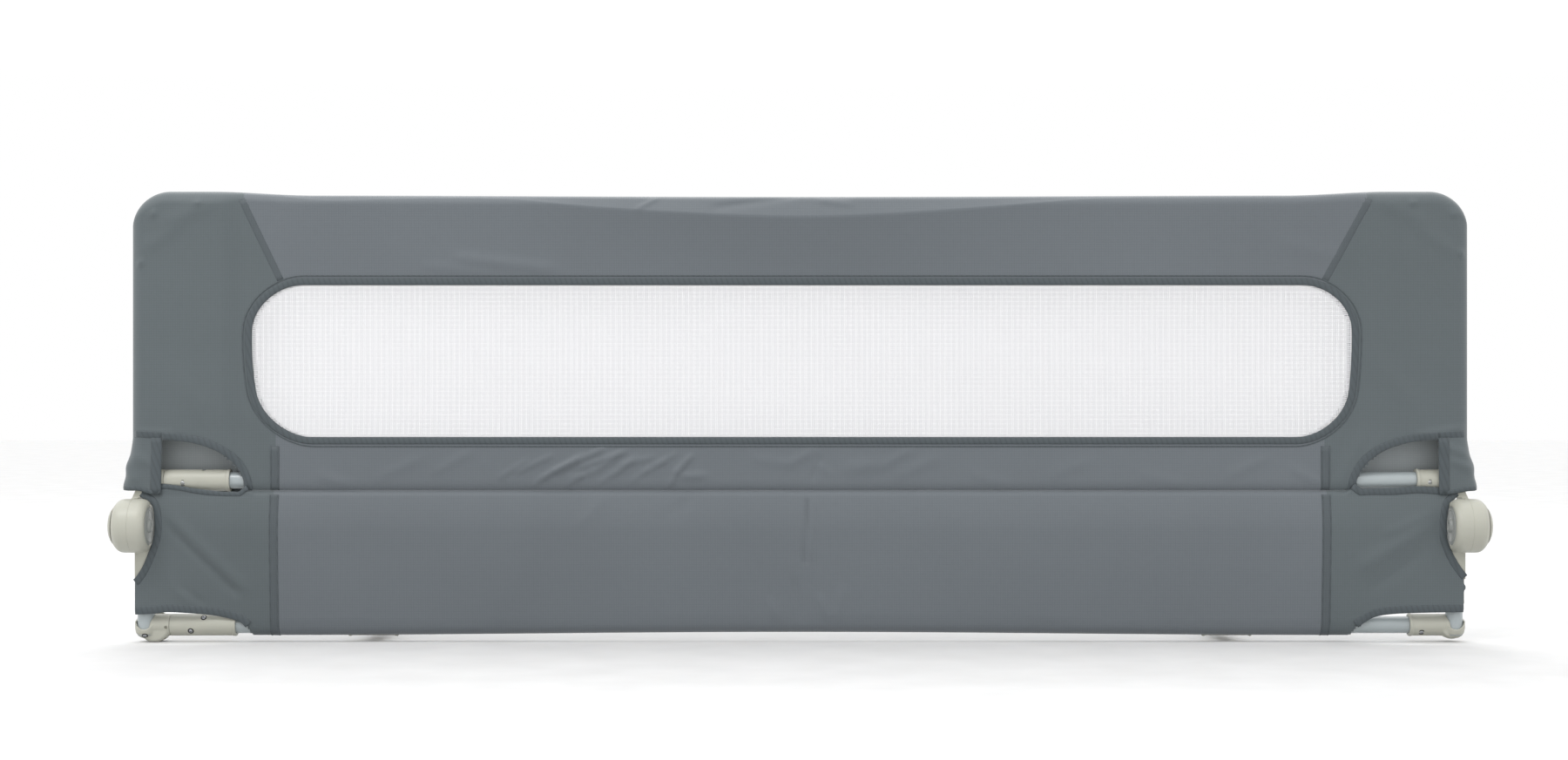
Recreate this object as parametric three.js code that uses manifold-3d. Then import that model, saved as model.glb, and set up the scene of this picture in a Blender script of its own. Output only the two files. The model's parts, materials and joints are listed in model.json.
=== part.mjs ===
// Folding bed guard rail with a double fabric cover, mesh windows and push-button drum hinges.
// Millimetres, +Z up. X runs along the bed, +Y goes under the mattress and -Y faces the room.
// The origin is under the middle of the whole piece, on the surface that it stands on.

import * as THREE from 'three';
import { mergeVertices } from 'three/addons/utils/BufferGeometryUtils.js';
import Module from 'manifold-3d';

const wasm = await Module();
wasm.setup();

// Frame
const postX = 734.7; // axis of each upright, from the middle
const tubeRadius = 9.5;
const tubeWall = 1.2;
const barZ = 18.5; // axis of the bottom bar
const crossZ = 181; // axis of the crossbar
const topZ = 490.5; // axis of the top tube
const legY = -4.5; // the legs stand a little in front of the bar
const hingeY = -21; // fold axis, in front of the tubes so that the folded guard hangs clear
const hingeZ = 131;
const barBow = 3.5; // the tight cover draws the bar and the top tube towards each other
const topBow = 1.6;
const bowEnd = 134.7; // from an upright's axis to where the bow starts
const bowHalf = postX - bowEnd;

// Fits
const fit = 0.35; // radial room between a tube and its socket
const touch = 0.3; // room between pieces that touch
const overrun = 4; // how far a cutting shape runs past the face it opens
const roundSides = 16;
const drumSides = 24;
const bowSteps = 8;

// Sockets, collars and couplings on the tubes
const socketRadius = 12.3;
const collarRadius = 13.2;
const collarLength = 3.4;
const spigotRadius = 9.1;
const spigotLength = 30;
const plugLength = 34; // how far a tube goes into a socket

// Corner elbow at the top
const elbow = { radius: 12.7, bend: 28.5, reach: 75, collar: 13.8, steps: 6 };

// Drum hinge, measured outwards from the upright's axis
const drum = {
  radius: 30,
  faceRadius: 25.4, // where the inner rim's rounding ends
  shoulder: -7, // start of the full radius
  inner: -12.2, // inner face
  parting: 9.8, // between the two halves
  coneStart: 17.5,
  coneEnd: 29,
  coneRadius: 26.2,
  outer: 31.3,
  outerRadius: 24.8,
  bore: 24.6,
  floorInner: -6.5, // inside face of the inner half's floor
  floorOuter: -10,
  webInner: 17.7, // bridge across the outer half, which holds the nut
  webOuter: 21.2,
  lip: 28.8,
  mouth: 22,
};
const spline = { count: 12, depth: 2.4, share: 0.5, taperShare: 0.7 };
const gear = { start: 6.4, thickness: 8, bore: 4.4 };
const axle = {
  radius: 4, head: 6, headDepth: 2.9, boss: 8.2, bossEnd: -1.5, nut: 6.6, nutDepth: 4, end: 25.7,
};
const coil = { radius: 10.2, wire: 0.9, turns: 4, stepsPerTurn: 8, sides: 5 };
const button = { flange: 24.1, flangeDepth: 2, cup: 21.5, wall: 2.8, rim: 33.6, crown: 36.6, dish: 12 };
const leg = { count: 3, inner: 11.5, outer: 18.2, halfAngle: 25 }; // of the button, through the bridge
const slotRoom = { radial: 1.3, halfAngle: 7 };
const disc = { ring: 7, hole: 3.5, proud: 1.5, ridge: 19, ridgeWidth: 1.6, ridgeHeight: 0.5 };

// Neck from the outer drum half up to the upright's socket
const neck = { inner: 3.2, top: 40, waistTop: 46, cheek: 15.4, slimZ: 21, front: 8.2, rise: 30.9 };
const postSocket = { radius: 12.8, bottom: 40, aboveCross: 54 };
const postSocketTop = crossZ - hingeZ + postSocket.aboveCross;
const legSocket = { radius: 11.5, collar: 11.9, bottom: 43, plateFront: 5, plateEnd: 60 };

// Bottom corner knuckle
const knuckle = {
  cup: 12.2, rimFront: 14, rimBack: 30, lobe: 16.8, lobeZ: 16, lobeX: 10.4, lobeFront: 11, lobeBack: 11,
};
const knuckleTop = 29.2;
const lobeEase = 3;
const legEnd = 7.5;
const sleeveLength = 73.5;
const coupledCrossCollar = 20.7; // from the upright's axis to the face of the coupling
const coupledBarCollar = 27.5;
const plainCrossSocket = 42.8; // from the upright's axis to the mouth of the right-hand sockets
const plainBarSocket = 50.7;

// Arms that go under the mattress
const armInset = 254.7; // from an upright's axis
const armX = postX - armInset;
const armEnd = 395;
const tee = { length: 56, reach: 48, room: 0.7 };
const foot = { length: 36, cover: 26, ease: 4, flat: 1.2, ribs: 3, ribWidth: 2.4, ribDepth: 1.1 };

// Cover: two sheets joined round the frame, with a window in each
const clothWall = 0.9;
const clothRoom = 0.8;
const coverCorner = 42;
const seamDrop = 15.4; // from the crossbar's axis down to the seam between the cover and the skirt
const coverBottom = crossZ - seamDrop;
const bandRise = 4; // from the seam to the widest part of the pocket round the crossbar
const fullEnd = 98.7; // from an upright's axis: the cover is as deep as the elbows and brackets up to here
const slimEnd = 112.7; // and only as deep as the tubes beyond this
const slimHalf = postX - slimEnd;
const fullHalf = postX - fullEnd;
const fold = { half: 322, out: 3.6, drop: 22 }; // the spare cloth that stands off along the top tube
const edgeFlat = 1.6; // half thickness of the sewn side edge
// Sides are from an upright's axis. The window's heights and corners are shares of the height between the
// crossbar and the top tube.
const window = { side: 115.1, riseShare: 0.158, dropShare: 0.2908, cornerShare: 0.168, mesh: 0.5 };
const notch = { side: 20.7, halfX: 92, height: 62 }; // quarter-round opening in the front sheet
const strap = { inside: 15.7, outside: 25.3, rise: 50, depth: 15.6 };
const strapMouth = { inside: 13.7, depth: 13.6 };
const notchEdge = postX - notch.side;
const capShares = [1, 0.67, 0.33, 0]; // of the quarter turn over the top tube
const cornerShares = [0, 0.2, 0.4, 0.6, 0.8, 1];
const bandShare = 0.64; // how full the pocket is just above the seam

// Skirt from the cover's seam down round the bottom bar. The bite at each end clears the hinge: its depth and
// top are inwards from the upright's axis, its heights above and below the fold axis. The hem's heights are
// above the bottom bar's axis.
const skirt = { topY: -13, frontY: -17.6, kneeDrop: 3, reach: 12.3, sewnRise: 21.5 };
const skirtBite = { deep: 14.5, top: 3.7, rise: 21, drop: 25, footDrop: 59, reach: 11.3 };
const skirtHem = { rise: 12.5, sleeveRise: 7, step: 12, room: 3 };
const skirtTee = { half: 32 };
const skirtTop = coverBottom - touch;
const sewnZ = barZ + skirt.sewnRise;
const skirtHalf = postX + skirt.reach;
const skirtStations = 5; // each side of the middle
const wrapSteps = 6;

const colours = {
  tubeWhite: { color: 0xd9dedd, roughness: 0.35, metalness: 0.1 },
  moulded: { color: 0xd2d0c4, roughness: 0.5, metalness: 0 },
  cover: { color: 0x6b7376, roughness: 0.75, metalness: 0 },
  net: { color: 0xeeeeee, roughness: 0.9, metalness: 0 },
  rubber: { color: 0x3c3f41, roughness: 0.9, metalness: 0 },
  steel: { color: 0xa9adb0, roughness: 0.3, metalness: 1 },
  disc: { color: 0xb9bbb6, roughness: 0.5, metalness: 0 },
};

// Solids

function signedVolume(points, faces) {
  let sum = 0;
  const [a, b, c] = [new THREE.Vector3(), new THREE.Vector3(), new THREE.Vector3()];
  for (let k = 0; k < faces.length; k += 3) {
    a.fromArray(points, faces[k] * 3);
    b.fromArray(points, faces[k + 1] * 3);
    c.fromArray(points, faces[k + 2] * 3);
    sum += a.dot(b.cross(c));
  }
  return sum;
}

function solid(geometry) {
  const plain = geometry.clone();
  for (const name of Object.keys(plain.attributes)) {
    if (name !== 'position') plain.deleteAttribute(name);
  }
  const merged = mergeVertices(plain);
  const points = Float32Array.from(merged.attributes.position.array);
  const faces = [];
  for (let k = 0; k < merged.index.count; k += 3) {
    const [i, j, l] = [0, 1, 2].map((step) => merged.index.getX(k + step));
    if (i !== j && j !== l && l !== i) faces.push(i, j, l);
  }
  if (signedVolume(points, faces) < 0) {
    for (let k = 0; k < faces.length; k += 3) [faces[k + 1], faces[k + 2]] = [faces[k + 2], faces[k + 1]];
  }
  const mesh = new wasm.Mesh({ numProp: 3, vertProperties: points, triVerts: Uint32Array.from(faces) });
  return new wasm.Manifold(mesh);
}

function toGeometry(body) {
  const mesh = body.getMesh();
  const geometry = new THREE.BufferGeometry();
  geometry.setAttribute('position', new THREE.BufferAttribute(new Float32Array(mesh.vertProperties), 3));
  geometry.setIndex(new THREE.BufferAttribute(new Uint32Array(mesh.triVerts), 1));
  geometry.computeVertexNormals();
  return geometry;
}

const join = (...bodies) => bodies.reduce((all, one) => all.add(one));
const cut = (body, ...tools) => tools.reduce((left, one) => left.subtract(one), body);

const towards = {
  x: (geometry) => geometry.rotateZ(-Math.PI / 2),
  y: (geometry) => geometry,
  z: (geometry) => geometry.rotateX(Math.PI / 2),
};

// A round bar along an axis, from one place on it to another.
function rod(radius, axis, from, to, centre = [0, 0, 0], sides = roundSides) {
  const geometry = new THREE.CylinderGeometry(radius, radius, to - from, sides);
  geometry.translate(0, (from + to) / 2, 0);
  return solid(towards[axis](geometry).translate(...centre));
}

function block(low, high) {
  const size = high.map((value, k) => value - low[k]);
  const middle = high.map((value, k) => (value + low[k]) / 2);
  return solid(new THREE.BoxGeometry(...size).translate(...middle));
}

// A closed profile of [along, radius] pairs, turned about an axis.
function turned(profile, axis, centre = [0, 0, 0], sides = drumSides) {
  const points = profile.map(([along, radius]) => new THREE.Vector2(radius, along));
  points.push(points[0].clone());
  return solid(towards[axis](new THREE.LatheGeometry(points, sides)).translate(...centre));
}

// Closes a stack of equal rings into one body. Each plane names the two coordinates of an end face.
function skin(rows, firstPlane, lastPlane = firstPlane) {
  const size = rows[0].length;
  const points = rows.flat(2);
  const faces = [];
  for (let k = 0; k + 1 < rows.length; k += 1) {
    for (let n = 0; n < size; n += 1) {
      const m = (n + 1) % size;
      const [a, b, c, d] = [k * size + n, k * size + m, (k + 1) * size + m, (k + 1) * size + n];
      faces.push(a, b, c, a, c, d);
    }
  }
  const last = (rows.length - 1) * size;
  const cap = (row, [u, v]) => THREE.ShapeUtils.triangulateShape(
    row.map((point) => new THREE.Vector2(point[u], point[v])), []);
  for (const [a, b, c] of cap(rows[0], firstPlane)) faces.push(a, c, b);
  for (const [a, b, c] of cap(rows.at(-1), lastPlane)) faces.push(last + a, last + b, last + c);
  const geometry = new THREE.BufferGeometry();
  geometry.setAttribute('position', new THREE.Float32BufferAttribute(points, 3));
  geometry.setIndex(faces);
  return solid(geometry);
}

// An outline in the YZ plane, drawn along X.
function alongX(shape, from, to) {
  const depth = to - from;
  const geometry = new THREE.ExtrudeGeometry(shape, { depth, bevelEnabled: false, curveSegments: 4 });
  const basis = new THREE.Matrix4().makeBasis(
    new THREE.Vector3(0, 1, 0), new THREE.Vector3(0, 0, 1), new THREE.Vector3(1, 0, 0));
  return solid(geometry.applyMatrix4(basis).translate(from, 0, 0));
}

// An outline in the XZ plane, drawn along Y.
function alongY(shape, from, to) {
  const depth = to - from;
  const geometry = new THREE.ExtrudeGeometry(shape, { depth, bevelEnabled: false, curveSegments: 8 });
  const basis = new THREE.Matrix4().makeBasis(
    new THREE.Vector3(1, 0, 0), new THREE.Vector3(0, 0, 1), new THREE.Vector3(0, -1, 0));
  return solid(geometry.applyMatrix4(basis).translate(0, to, 0));
}

const outline = (points) => new THREE.Shape(points.map(([a, b]) => new THREE.Vector2(a, b)));
const boreRadius = tubeRadius + fit;

// Tubes

// An even swell over a length on both sides of the middle, 1 at the middle.
const swell = (x, half) => (Math.abs(x) < half ? (1 + Math.cos((Math.PI * x) / half)) / 2 : 0);

// How far a bowed tube stands off its straight line at a place along it.
const bowShape = (x) => swell(x, bowHalf);

class Bow extends THREE.Curve {
  constructor(from, to, rise) {
    super();
    Object.assign(this, { from, to, rise });
  }

  getPoint(t, target = new THREE.Vector3()) {
    const x = this.from + t * (this.to - this.from);
    return target.set(x, 0, this.rise * bowShape(x));
  }
}

function ring(outer, inner, sides) {
  const shape = new THREE.Shape();
  const hole = new THREE.Path();
  for (let k = 0; k <= sides; k += 1) {
    const angle = (2 * Math.PI * k) / sides;
    const put = k === 0 ? 'moveTo' : 'lineTo';
    shape[put](outer * Math.cos(angle), outer * Math.sin(angle));
    hole[put](inner * Math.cos(-angle), inner * Math.sin(-angle));
  }
  shape.holes.push(hole);
  return shape;
}

function bowedTube(from, to, rise) {
  const extrudePath = new Bow(from, to, rise);
  const shape = ring(tubeRadius, tubeRadius - tubeWall, roundSides);
  return solid(new THREE.ExtrudeGeometry(shape, { steps: bowSteps, extrudePath, bevelEnabled: false }));
}

function straightTube(axis, from, to) {
  const bore = rod(tubeRadius - tubeWall, axis, from - overrun, to + overrun);
  return cut(rod(tubeRadius, axis, from, to), bore);
}

// Moulded corner that holds the top tube and a side tube. Local origin where their axes cross.

function elbowBody() {
  const { radius, bend, reach, collar, steps } = elbow;
  const ringAt = (x, z, angle) => Array.from({ length: roundSides }, (_, k) => {
    const around = (2 * Math.PI * k) / roundSides;
    const out = radius * Math.cos(around);
    return [x + out * Math.cos(angle), radius * Math.sin(around), z + out * Math.sin(angle)];
  });
  const bendRings = Array.from({ length: steps + 1 }, (_, k) => {
    const angle = (Math.PI * k) / (2 * steps);
    return ringAt(bend * (Math.cos(angle) - 1), bend * (Math.sin(angle) - 1), angle);
  });
  const rows = [ringAt(0, -reach, 0), ...bendRings, ringAt(-reach, 0, Math.PI / 2)];
  const body = join(
    skin(rows, [0, 1], [2, 1]),
    rod(collar, 'z', -reach, collarLength - reach),
    rod(collar, 'x', -reach, collarLength - reach));
  return cut(
    body,
    rod(boreRadius, 'z', -reach - overrun, -reach + plugLength),
    rod(boreRadius, 'x', -reach - overrun, -reach + plugLength));
}

// Drum hinge. Local origin on the fold axis, in the upright's plane, with X running outwards.

const upY = -hingeY; // the guard's tubes
const downY = legY - hingeY; // the legs

function toothedOutline(root, tip, room) {
  const shape = new THREE.Shape();
  const pitch = (2 * Math.PI) / spline.count;
  for (let k = 0; k < spline.count; k += 1) {
    const half = (pitch * spline.share) / 2;
    const crest = half * spline.taperShare;
    const widen = room / tip;
    const corners = [
      [root, -half - widen], [tip, -crest - widen], [tip, crest + widen], [root, half + widen],
    ];
    corners.forEach(([radius, angle], n) => {
      const at = k * pitch + angle;
      shape[k + n === 0 ? 'moveTo' : 'lineTo'](radius * Math.cos(at), radius * Math.sin(at));
    });
  }
  return shape;
}

function sector(inner, outer, halfAngle, middle, from, to) {
  const shape = new THREE.Shape();
  const half = THREE.MathUtils.degToRad(halfAngle);
  shape.absarc(0, 0, outer, middle - half, middle + half, false);
  shape.absarc(0, 0, inner, middle + half, middle - half, true);
  return alongX(shape, from, to);
}

const thirds = Array.from({ length: leg.count }, (_, k) => Math.PI / 2 + (2 * Math.PI * k) / leg.count);

function outerHalf(coupled) {
  const d = drum;
  const start = d.parting + touch / 2;
  const shell = turned([
    [start, 0], [start, d.radius], [d.coneStart, d.radius], [d.coneEnd, d.coneRadius],
    [d.outer, d.outerRadius], [d.outer, 0],
  ], 'x');
  const side = outline([
    [-d.radius / 2, neck.slimZ - touch], [neck.front, neck.rise + touch], [neck.front, postSocketTop],
    [upY + postSocket.radius, postSocketTop], [upY + postSocket.radius, postSocket.bottom],
    [d.radius - neck.inner, 0], [0, 0],
  ]);
  const spine = postSocket.radius / 3;
  const front = outline([
    [start, 0], [start, neck.rise - touch], [neck.inner, neck.rise], [neck.inner, neck.top],
    [-spine, neck.waistTop], [-spine, postSocketTop], [spine, postSocketTop], [spine, neck.waistTop],
    [d.parting, neck.top], [neck.cheek - neck.inner / 2, neck.rise], [neck.cheek, neck.slimZ],
    [neck.cheek, 0],
  ]);
  const limb = alongX(side, -d.radius, d.radius).intersect(alongY(front, -2 * d.radius, 2 * d.radius));
  const crossAt = [0, upY, crossZ - hingeZ];
  const postAt = [0, upY, 0];
  const parts = [shell, limb, rod(postSocket.radius, 'z', postSocket.bottom, postSocketTop, postAt)];
  const boreFoot = crossZ - hingeZ + tubeRadius + overrun;
  const tools = [rod(boreRadius, 'z', boreFoot, postSocketTop + overrun, postAt)];
  if (coupled) {
    const face = -coupledCrossCollar;
    parts.push(rod(socketRadius, 'x', face, 0, crossAt));
    parts.push(rod(spigotRadius, 'x', face - spigotLength, face, crossAt));
  } else {
    const mouth = -plainCrossSocket;
    parts.push(rod(socketRadius, 'x', mouth, 0, crossAt));
    parts.push(rod(collarRadius, 'x', mouth, mouth + collarLength, crossAt));
    tools.push(rod(boreRadius, 'x', mouth - overrun, mouth + plugLength - collarLength, crossAt));
  }
  const hollow = turned([
    [start - overrun, 0], [start - overrun, d.bore], [d.webInner, d.bore], [d.webInner, 0],
  ], 'x');
  const chamber = turned([
    [d.webOuter, 0], [d.webOuter, d.bore], [d.lip, d.bore], [d.lip, d.mouth],
    [d.outer + overrun, d.mouth], [d.outer + overrun, 0],
  ], 'x');
  const windows = thirds.map((middle) => sector(
    leg.inner - slotRoom.radial, leg.outer + slotRoom.radial, leg.halfAngle + slotRoom.halfAngle, middle,
    d.webInner - overrun, d.webOuter + overrun));
  const pin = rod(axle.radius + fit, 'x', d.webInner - overrun, d.webOuter + overrun);
  return cut(join(...parts), hollow, chamber, pin, ...windows, ...tools);
}

function innerHalf() {
  const d = drum;
  const end = d.parting - touch / 2;
  const shell = turned([
    [d.inner, 0], [d.inner, d.faceRadius], [(d.inner + d.shoulder) / 2, (d.faceRadius + 2 * d.radius) / 3],
    [d.shoulder, d.radius], [end, d.radius], [end, 0],
  ], 'x');
  const bottom = legSocket.bottom - hingeZ;
  const plate = alongX(outline([
    [legSocket.plateFront, 0], [legSocket.plateFront, -legSocket.plateEnd],
    [downY + legSocket.radius, -legSocket.plateEnd], [downY + legSocket.radius, 0],
  ]), d.inner + touch, end);
  const legAt = [0, downY, 0];
  const socket = rod(legSocket.radius, 'z', bottom, -d.radius - touch, legAt);
  const collar = rod(legSocket.collar, 'z', bottom, bottom + collarLength, legAt);
  const floor = turned([
    [d.floorInner, 0], [d.floorInner, d.bore], [end + overrun, d.bore], [end + overrun, 0],
  ], 'x');
  const boss = rod(axle.boss, 'x', d.floorInner - overrun / 2, axle.bossEnd);
  const recess = rod(d.bore, 'x', d.inner - overrun, d.floorOuter, [0, 0, 0], drumSides);
  const seat = rod(axle.head + fit, 'x', d.floorOuter - overrun, d.floorOuter + axle.headDepth + touch);
  const pin = rod(axle.radius + fit, 'x', d.inner, axle.bossEnd + overrun);
  const bore = rod(boreRadius, 'z', bottom - overrun, -d.radius - overrun, legAt);
  const teeth = cut(
    rod(d.bore + touch, 'x', d.floorInner + overrun, end, [0, 0, 0], drumSides),
    alongX(toothedOutline(d.bore - spline.depth, d.bore, fit), d.floorInner, end + overrun));
  const body = cut(join(shell, plate, socket, collar), floor, recess, bore);
  return cut(join(body, boss, teeth), seat, pin);
}

function lockGear() {
  const root = drum.bore - spline.depth - fit;
  const tip = drum.bore - 2 * fit;
  const body = alongX(toothedOutline(root, tip, -touch), gear.start, gear.start + gear.thickness);
  const pocket = turned([
    [gear.start - overrun, 0], [gear.start - overrun, leg.outer],
    [gear.start + gear.thickness / 2, leg.outer - coil.wire], [gear.start + gear.thickness / 2, 0],
  ], 'x');
  const hub = rod(leg.inner + coil.wire, 'x', gear.start, gear.start + gear.thickness);
  const bore = rod(gear.bore, 'x', gear.start - overrun, gear.start + gear.thickness + overrun);
  return cut(join(cut(body, pocket), hub), bore);
}

function axleBolt() {
  const head = drum.floorOuter + touch;
  return join(
    rod(axle.head, 'x', head, head + axle.headDepth - touch),
    rod(axle.radius, 'x', head + touch, axle.end));
}

function axleNut() {
  const from = drum.webOuter + touch;
  const body = rod(axle.nut, 'x', from, from + axle.nutDepth, [0, 0, 0], 6);
  return cut(body, rod(axle.radius + fit, 'x', from - overrun, from + axle.nutDepth + overrun));
}

class Helix extends THREE.Curve {
  constructor(from, to, radius, turns) {
    super();
    Object.assign(this, { from, to, radius, turns });
  }

  getPoint(t, target = new THREE.Vector3()) {
    const angle = 2 * Math.PI * this.turns * t;
    const x = this.from + t * (this.to - this.from);
    return target.set(x, this.radius * Math.cos(angle), this.radius * Math.sin(angle));
  }
}

function lockSpring() {
  const { wire, sides, turns, stepsPerTurn, radius } = coil;
  const shape = new THREE.Shape();
  for (let k = 0; k <= sides; k += 1) {
    const angle = (2 * Math.PI * k) / sides;
    shape[k === 0 ? 'moveTo' : 'lineTo'](wire * Math.cos(angle), wire * Math.sin(angle));
  }
  const from = drum.floorInner + wire + touch;
  const to = gear.start - wire - touch;
  const extrudePath = new Helix(from, to, radius, turns);
  const steps = turns * stepsPerTurn;
  return solid(new THREE.ExtrudeGeometry(shape, { steps, extrudePath, bevelEnabled: false }));
}

function releaseButton() {
  const b = button;
  const seat = drum.lip - touch;
  const ceiling = b.rim - b.wall + touch;
  const cap = turned([
    [seat - b.flangeDepth, 0], [seat - b.flangeDepth, b.flange], [seat, b.flange], [seat, b.cup],
    [b.rim, b.cup], [b.rim + b.wall / 2, b.cup - b.wall], [b.crown, b.dish], [b.crown - b.flangeDepth / 2, 0],
  ], 'x');
  const hollow = rod(b.cup - b.wall, 'x', drum.webOuter - overrun, ceiling, [0, 0, 0], drumSides);
  const legs = thirds.map((middle) => sector(
    leg.inner, leg.outer, leg.halfAngle, middle, gear.start + gear.thickness + touch, ceiling + touch));
  return join(cut(cap, hollow), ...legs);
}

function faceDisc() {
  const front = drum.inner + touch;
  const back = drum.floorOuter - touch;
  const edge = drum.bore - fit;
  const plate = rod(edge, 'x', front, back, [0, 0, 0], drumSides);
  const boss = rod(disc.ring, 'x', drum.inner - disc.proud, back);
  const ridge = turned([
    [front - disc.ridgeHeight, disc.ridge], [back - touch, disc.ridge],
    [back - touch, disc.ridge + disc.ridgeWidth], [front - disc.ridgeHeight, disc.ridge + disc.ridgeWidth],
  ], 'x');
  return cut(join(plate, boss, ridge), rod(disc.hole, 'x', drum.inner - overrun, back + overrun));
}

// Bottom corner. Local origin on the ground under the upright, in the bar's plane, with X outwards.

function cornerKnuckle(coupled) {
  const k = knuckle;
  const legAt = [0, legY, 0];
  const lobe = turned([
    [-k.lobeFront, 0], [-k.lobeFront, k.lobe - lobeEase], [lobeEase - k.lobeFront, k.lobe],
    [k.lobeBack - lobeEase, k.lobe], [k.lobeBack, k.lobe - lobeEase], [k.lobeBack, 0],
  ], 'y', [-k.lobeX, 0, k.lobeZ], drumSides);
  const ground = block([-3 * k.cup, -2 * k.lobe, 0], [2 * k.cup, 2 * k.lobe, knuckleTop]);
  const cupFoot = legEnd - fit - lobeEase;
  const cup = turned([
    [cupFoot, 0], [cupFoot, k.cup - lobeEase], [cupFoot + lobeEase, k.cup], [k.rimBack, k.cup],
    [k.rimBack, 0],
  ], 'z', legAt, roundSides);
  const rim = alongX(outline([
    [legY - 2 * k.cup, k.rimFront - lobeEase], [legY, (k.rimFront + k.rimBack) / 2],
    [legY + k.cup, k.rimBack], [legY + k.cup, 2 * k.rimBack], [legY - 2 * k.cup, 2 * k.rimBack],
  ]), -2 * k.cup, 2 * k.cup);
  const barAt = [0, 0, barZ];
  const parts = [lobe.intersect(ground), cut(cup, rim)];
  const tools = [rod(boreRadius, 'z', legEnd - touch, k.rimBack + overrun, legAt)];
  if (coupled) {
    parts.push(rod(socketRadius, 'x', -coupledBarCollar, 0, barAt));
    parts.push(rod(spigotRadius, 'x', -coupledBarCollar - spigotLength, -coupledBarCollar, barAt));
  } else {
    const mouth = -plainBarSocket;
    parts.push(rod(socketRadius, 'x', mouth, 0, barAt));
    parts.push(rod(collarRadius, 'x', mouth, mouth + collarLength, barAt));
    tools.push(rod(boreRadius, 'x', mouth - overrun, mouth + plugLength - collarLength, barAt));
  }
  return cut(join(...parts), ...tools);
}

// A coupling between a spigot and a tube. Local origin on its outer face, with X outwards.
function couplingSleeve() {
  const body = join(
    rod(socketRadius, 'x', -sleeveLength, 0),
    rod(socketRadius + touch, 'x', -sleeveLength, -sleeveLength + collarLength));
  return cut(body, rod(boreRadius, 'x', -sleeveLength - overrun, overrun));
}

// Under-mattress arms. Local origin on the bar's axis, with Y towards the mattress.

const armZ = barZ + barBow * bowShape(armX);

// A saddle behind the bar, so that the skirt can pass in front of it and below.
function armTee() {
  const half = tee.length / 2;
  const behind = block([-half, 0, -2 * tubeRadius], [half, 2 * tee.reach, 2 * tubeRadius]);
  const body = join(
    rod(socketRadius, 'x', -half, half),
    rod(collarRadius, 'x', -half, collarLength - half),
    rod(collarRadius, 'x', half - collarLength, half),
    rod(socketRadius, 'y', 0, tee.reach),
    rod(collarRadius, 'y', tee.reach - collarLength, tee.reach));
  return cut(
    body.intersect(behind),
    rod(tubeRadius + tee.room, 'x', -half - overrun, half + overrun),
    rod(boreRadius, 'y', tee.reach - plugLength, tee.reach + overrun));
}

function armFoot() {
  const radius = armZ + foot.flat;
  const from = armEnd - foot.cover;
  const to = from + foot.length;
  const body = turned([
    [from, 0], [from, radius - foot.ease], [from + foot.ease, radius],
    [to - foot.ease, radius], [to, radius - 2 * foot.ease], [to, 0],
  ], 'y', [0, 0, 0], drumSides);
  const slab = block([-2 * radius, from - overrun, -armZ], [2 * radius, to + overrun, 2 * radius]);
  const pitch = foot.length / (foot.ribs + 1);
  const grooves = Array.from({ length: foot.ribs }, (_, k) => {
    const middle = from + pitch * (k + 1);
    return block(
      [-radius, middle - foot.ribWidth / 2, -2 * armZ],
      [radius, middle + foot.ribWidth / 2, foot.ribDepth - armZ]);
  });
  return cut(body.intersect(slab), rod(boreRadius, 'y', from - overrun, armEnd + touch), ...grooves);
}

// Cover. Each station across the width has its own closed section in the YZ plane.

const coverTop = topZ + elbow.collar + clothRoom + clothWall;
const coverHalf = postX + elbow.collar + clothRoom + clothWall;
const fullDepth = elbow.collar + clothRoom + clothWall;
const slimDepth = tubeRadius + clothRoom + clothWall;

// Half depth of the cover's outside at a place across the width, before the side edges round off.
function coverDepth(x) {
  const share = THREE.MathUtils.clamp((Math.abs(x) - slimHalf) / (fullHalf - slimHalf), 0, 1);
  return THREE.MathUtils.lerp(slimDepth, fullDepth, share);
}

// Height of the cover's top edge, which rests on the elbows and on the bowed tube.
function coverCrest(x) {
  const share = THREE.MathUtils.smoothstep(Math.abs(x), slimHalf - elbow.reach, postX - elbow.reach);
  const onTube = topZ - topBow * bowShape(x) + tubeRadius + clothRoom + clothWall;
  return THREE.MathUtils.lerp(onTube, coverTop, share);
}

const coverStations = (() => {
  const right = [0, slimHalf / 4, slimHalf / 2, (slimHalf * 3) / 4, slimHalf, fullHalf, postX - elbow.reach];
  const corner = cornerShares.map((share) => {
    const angle = (share * Math.PI) / 2;
    return coverHalf - coverCorner + coverCorner * Math.sin(angle);
  });
  const all = [...right, ...corner];
  return [...all.slice(1).reverse().map((x) => -x), ...all];
})();

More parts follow.
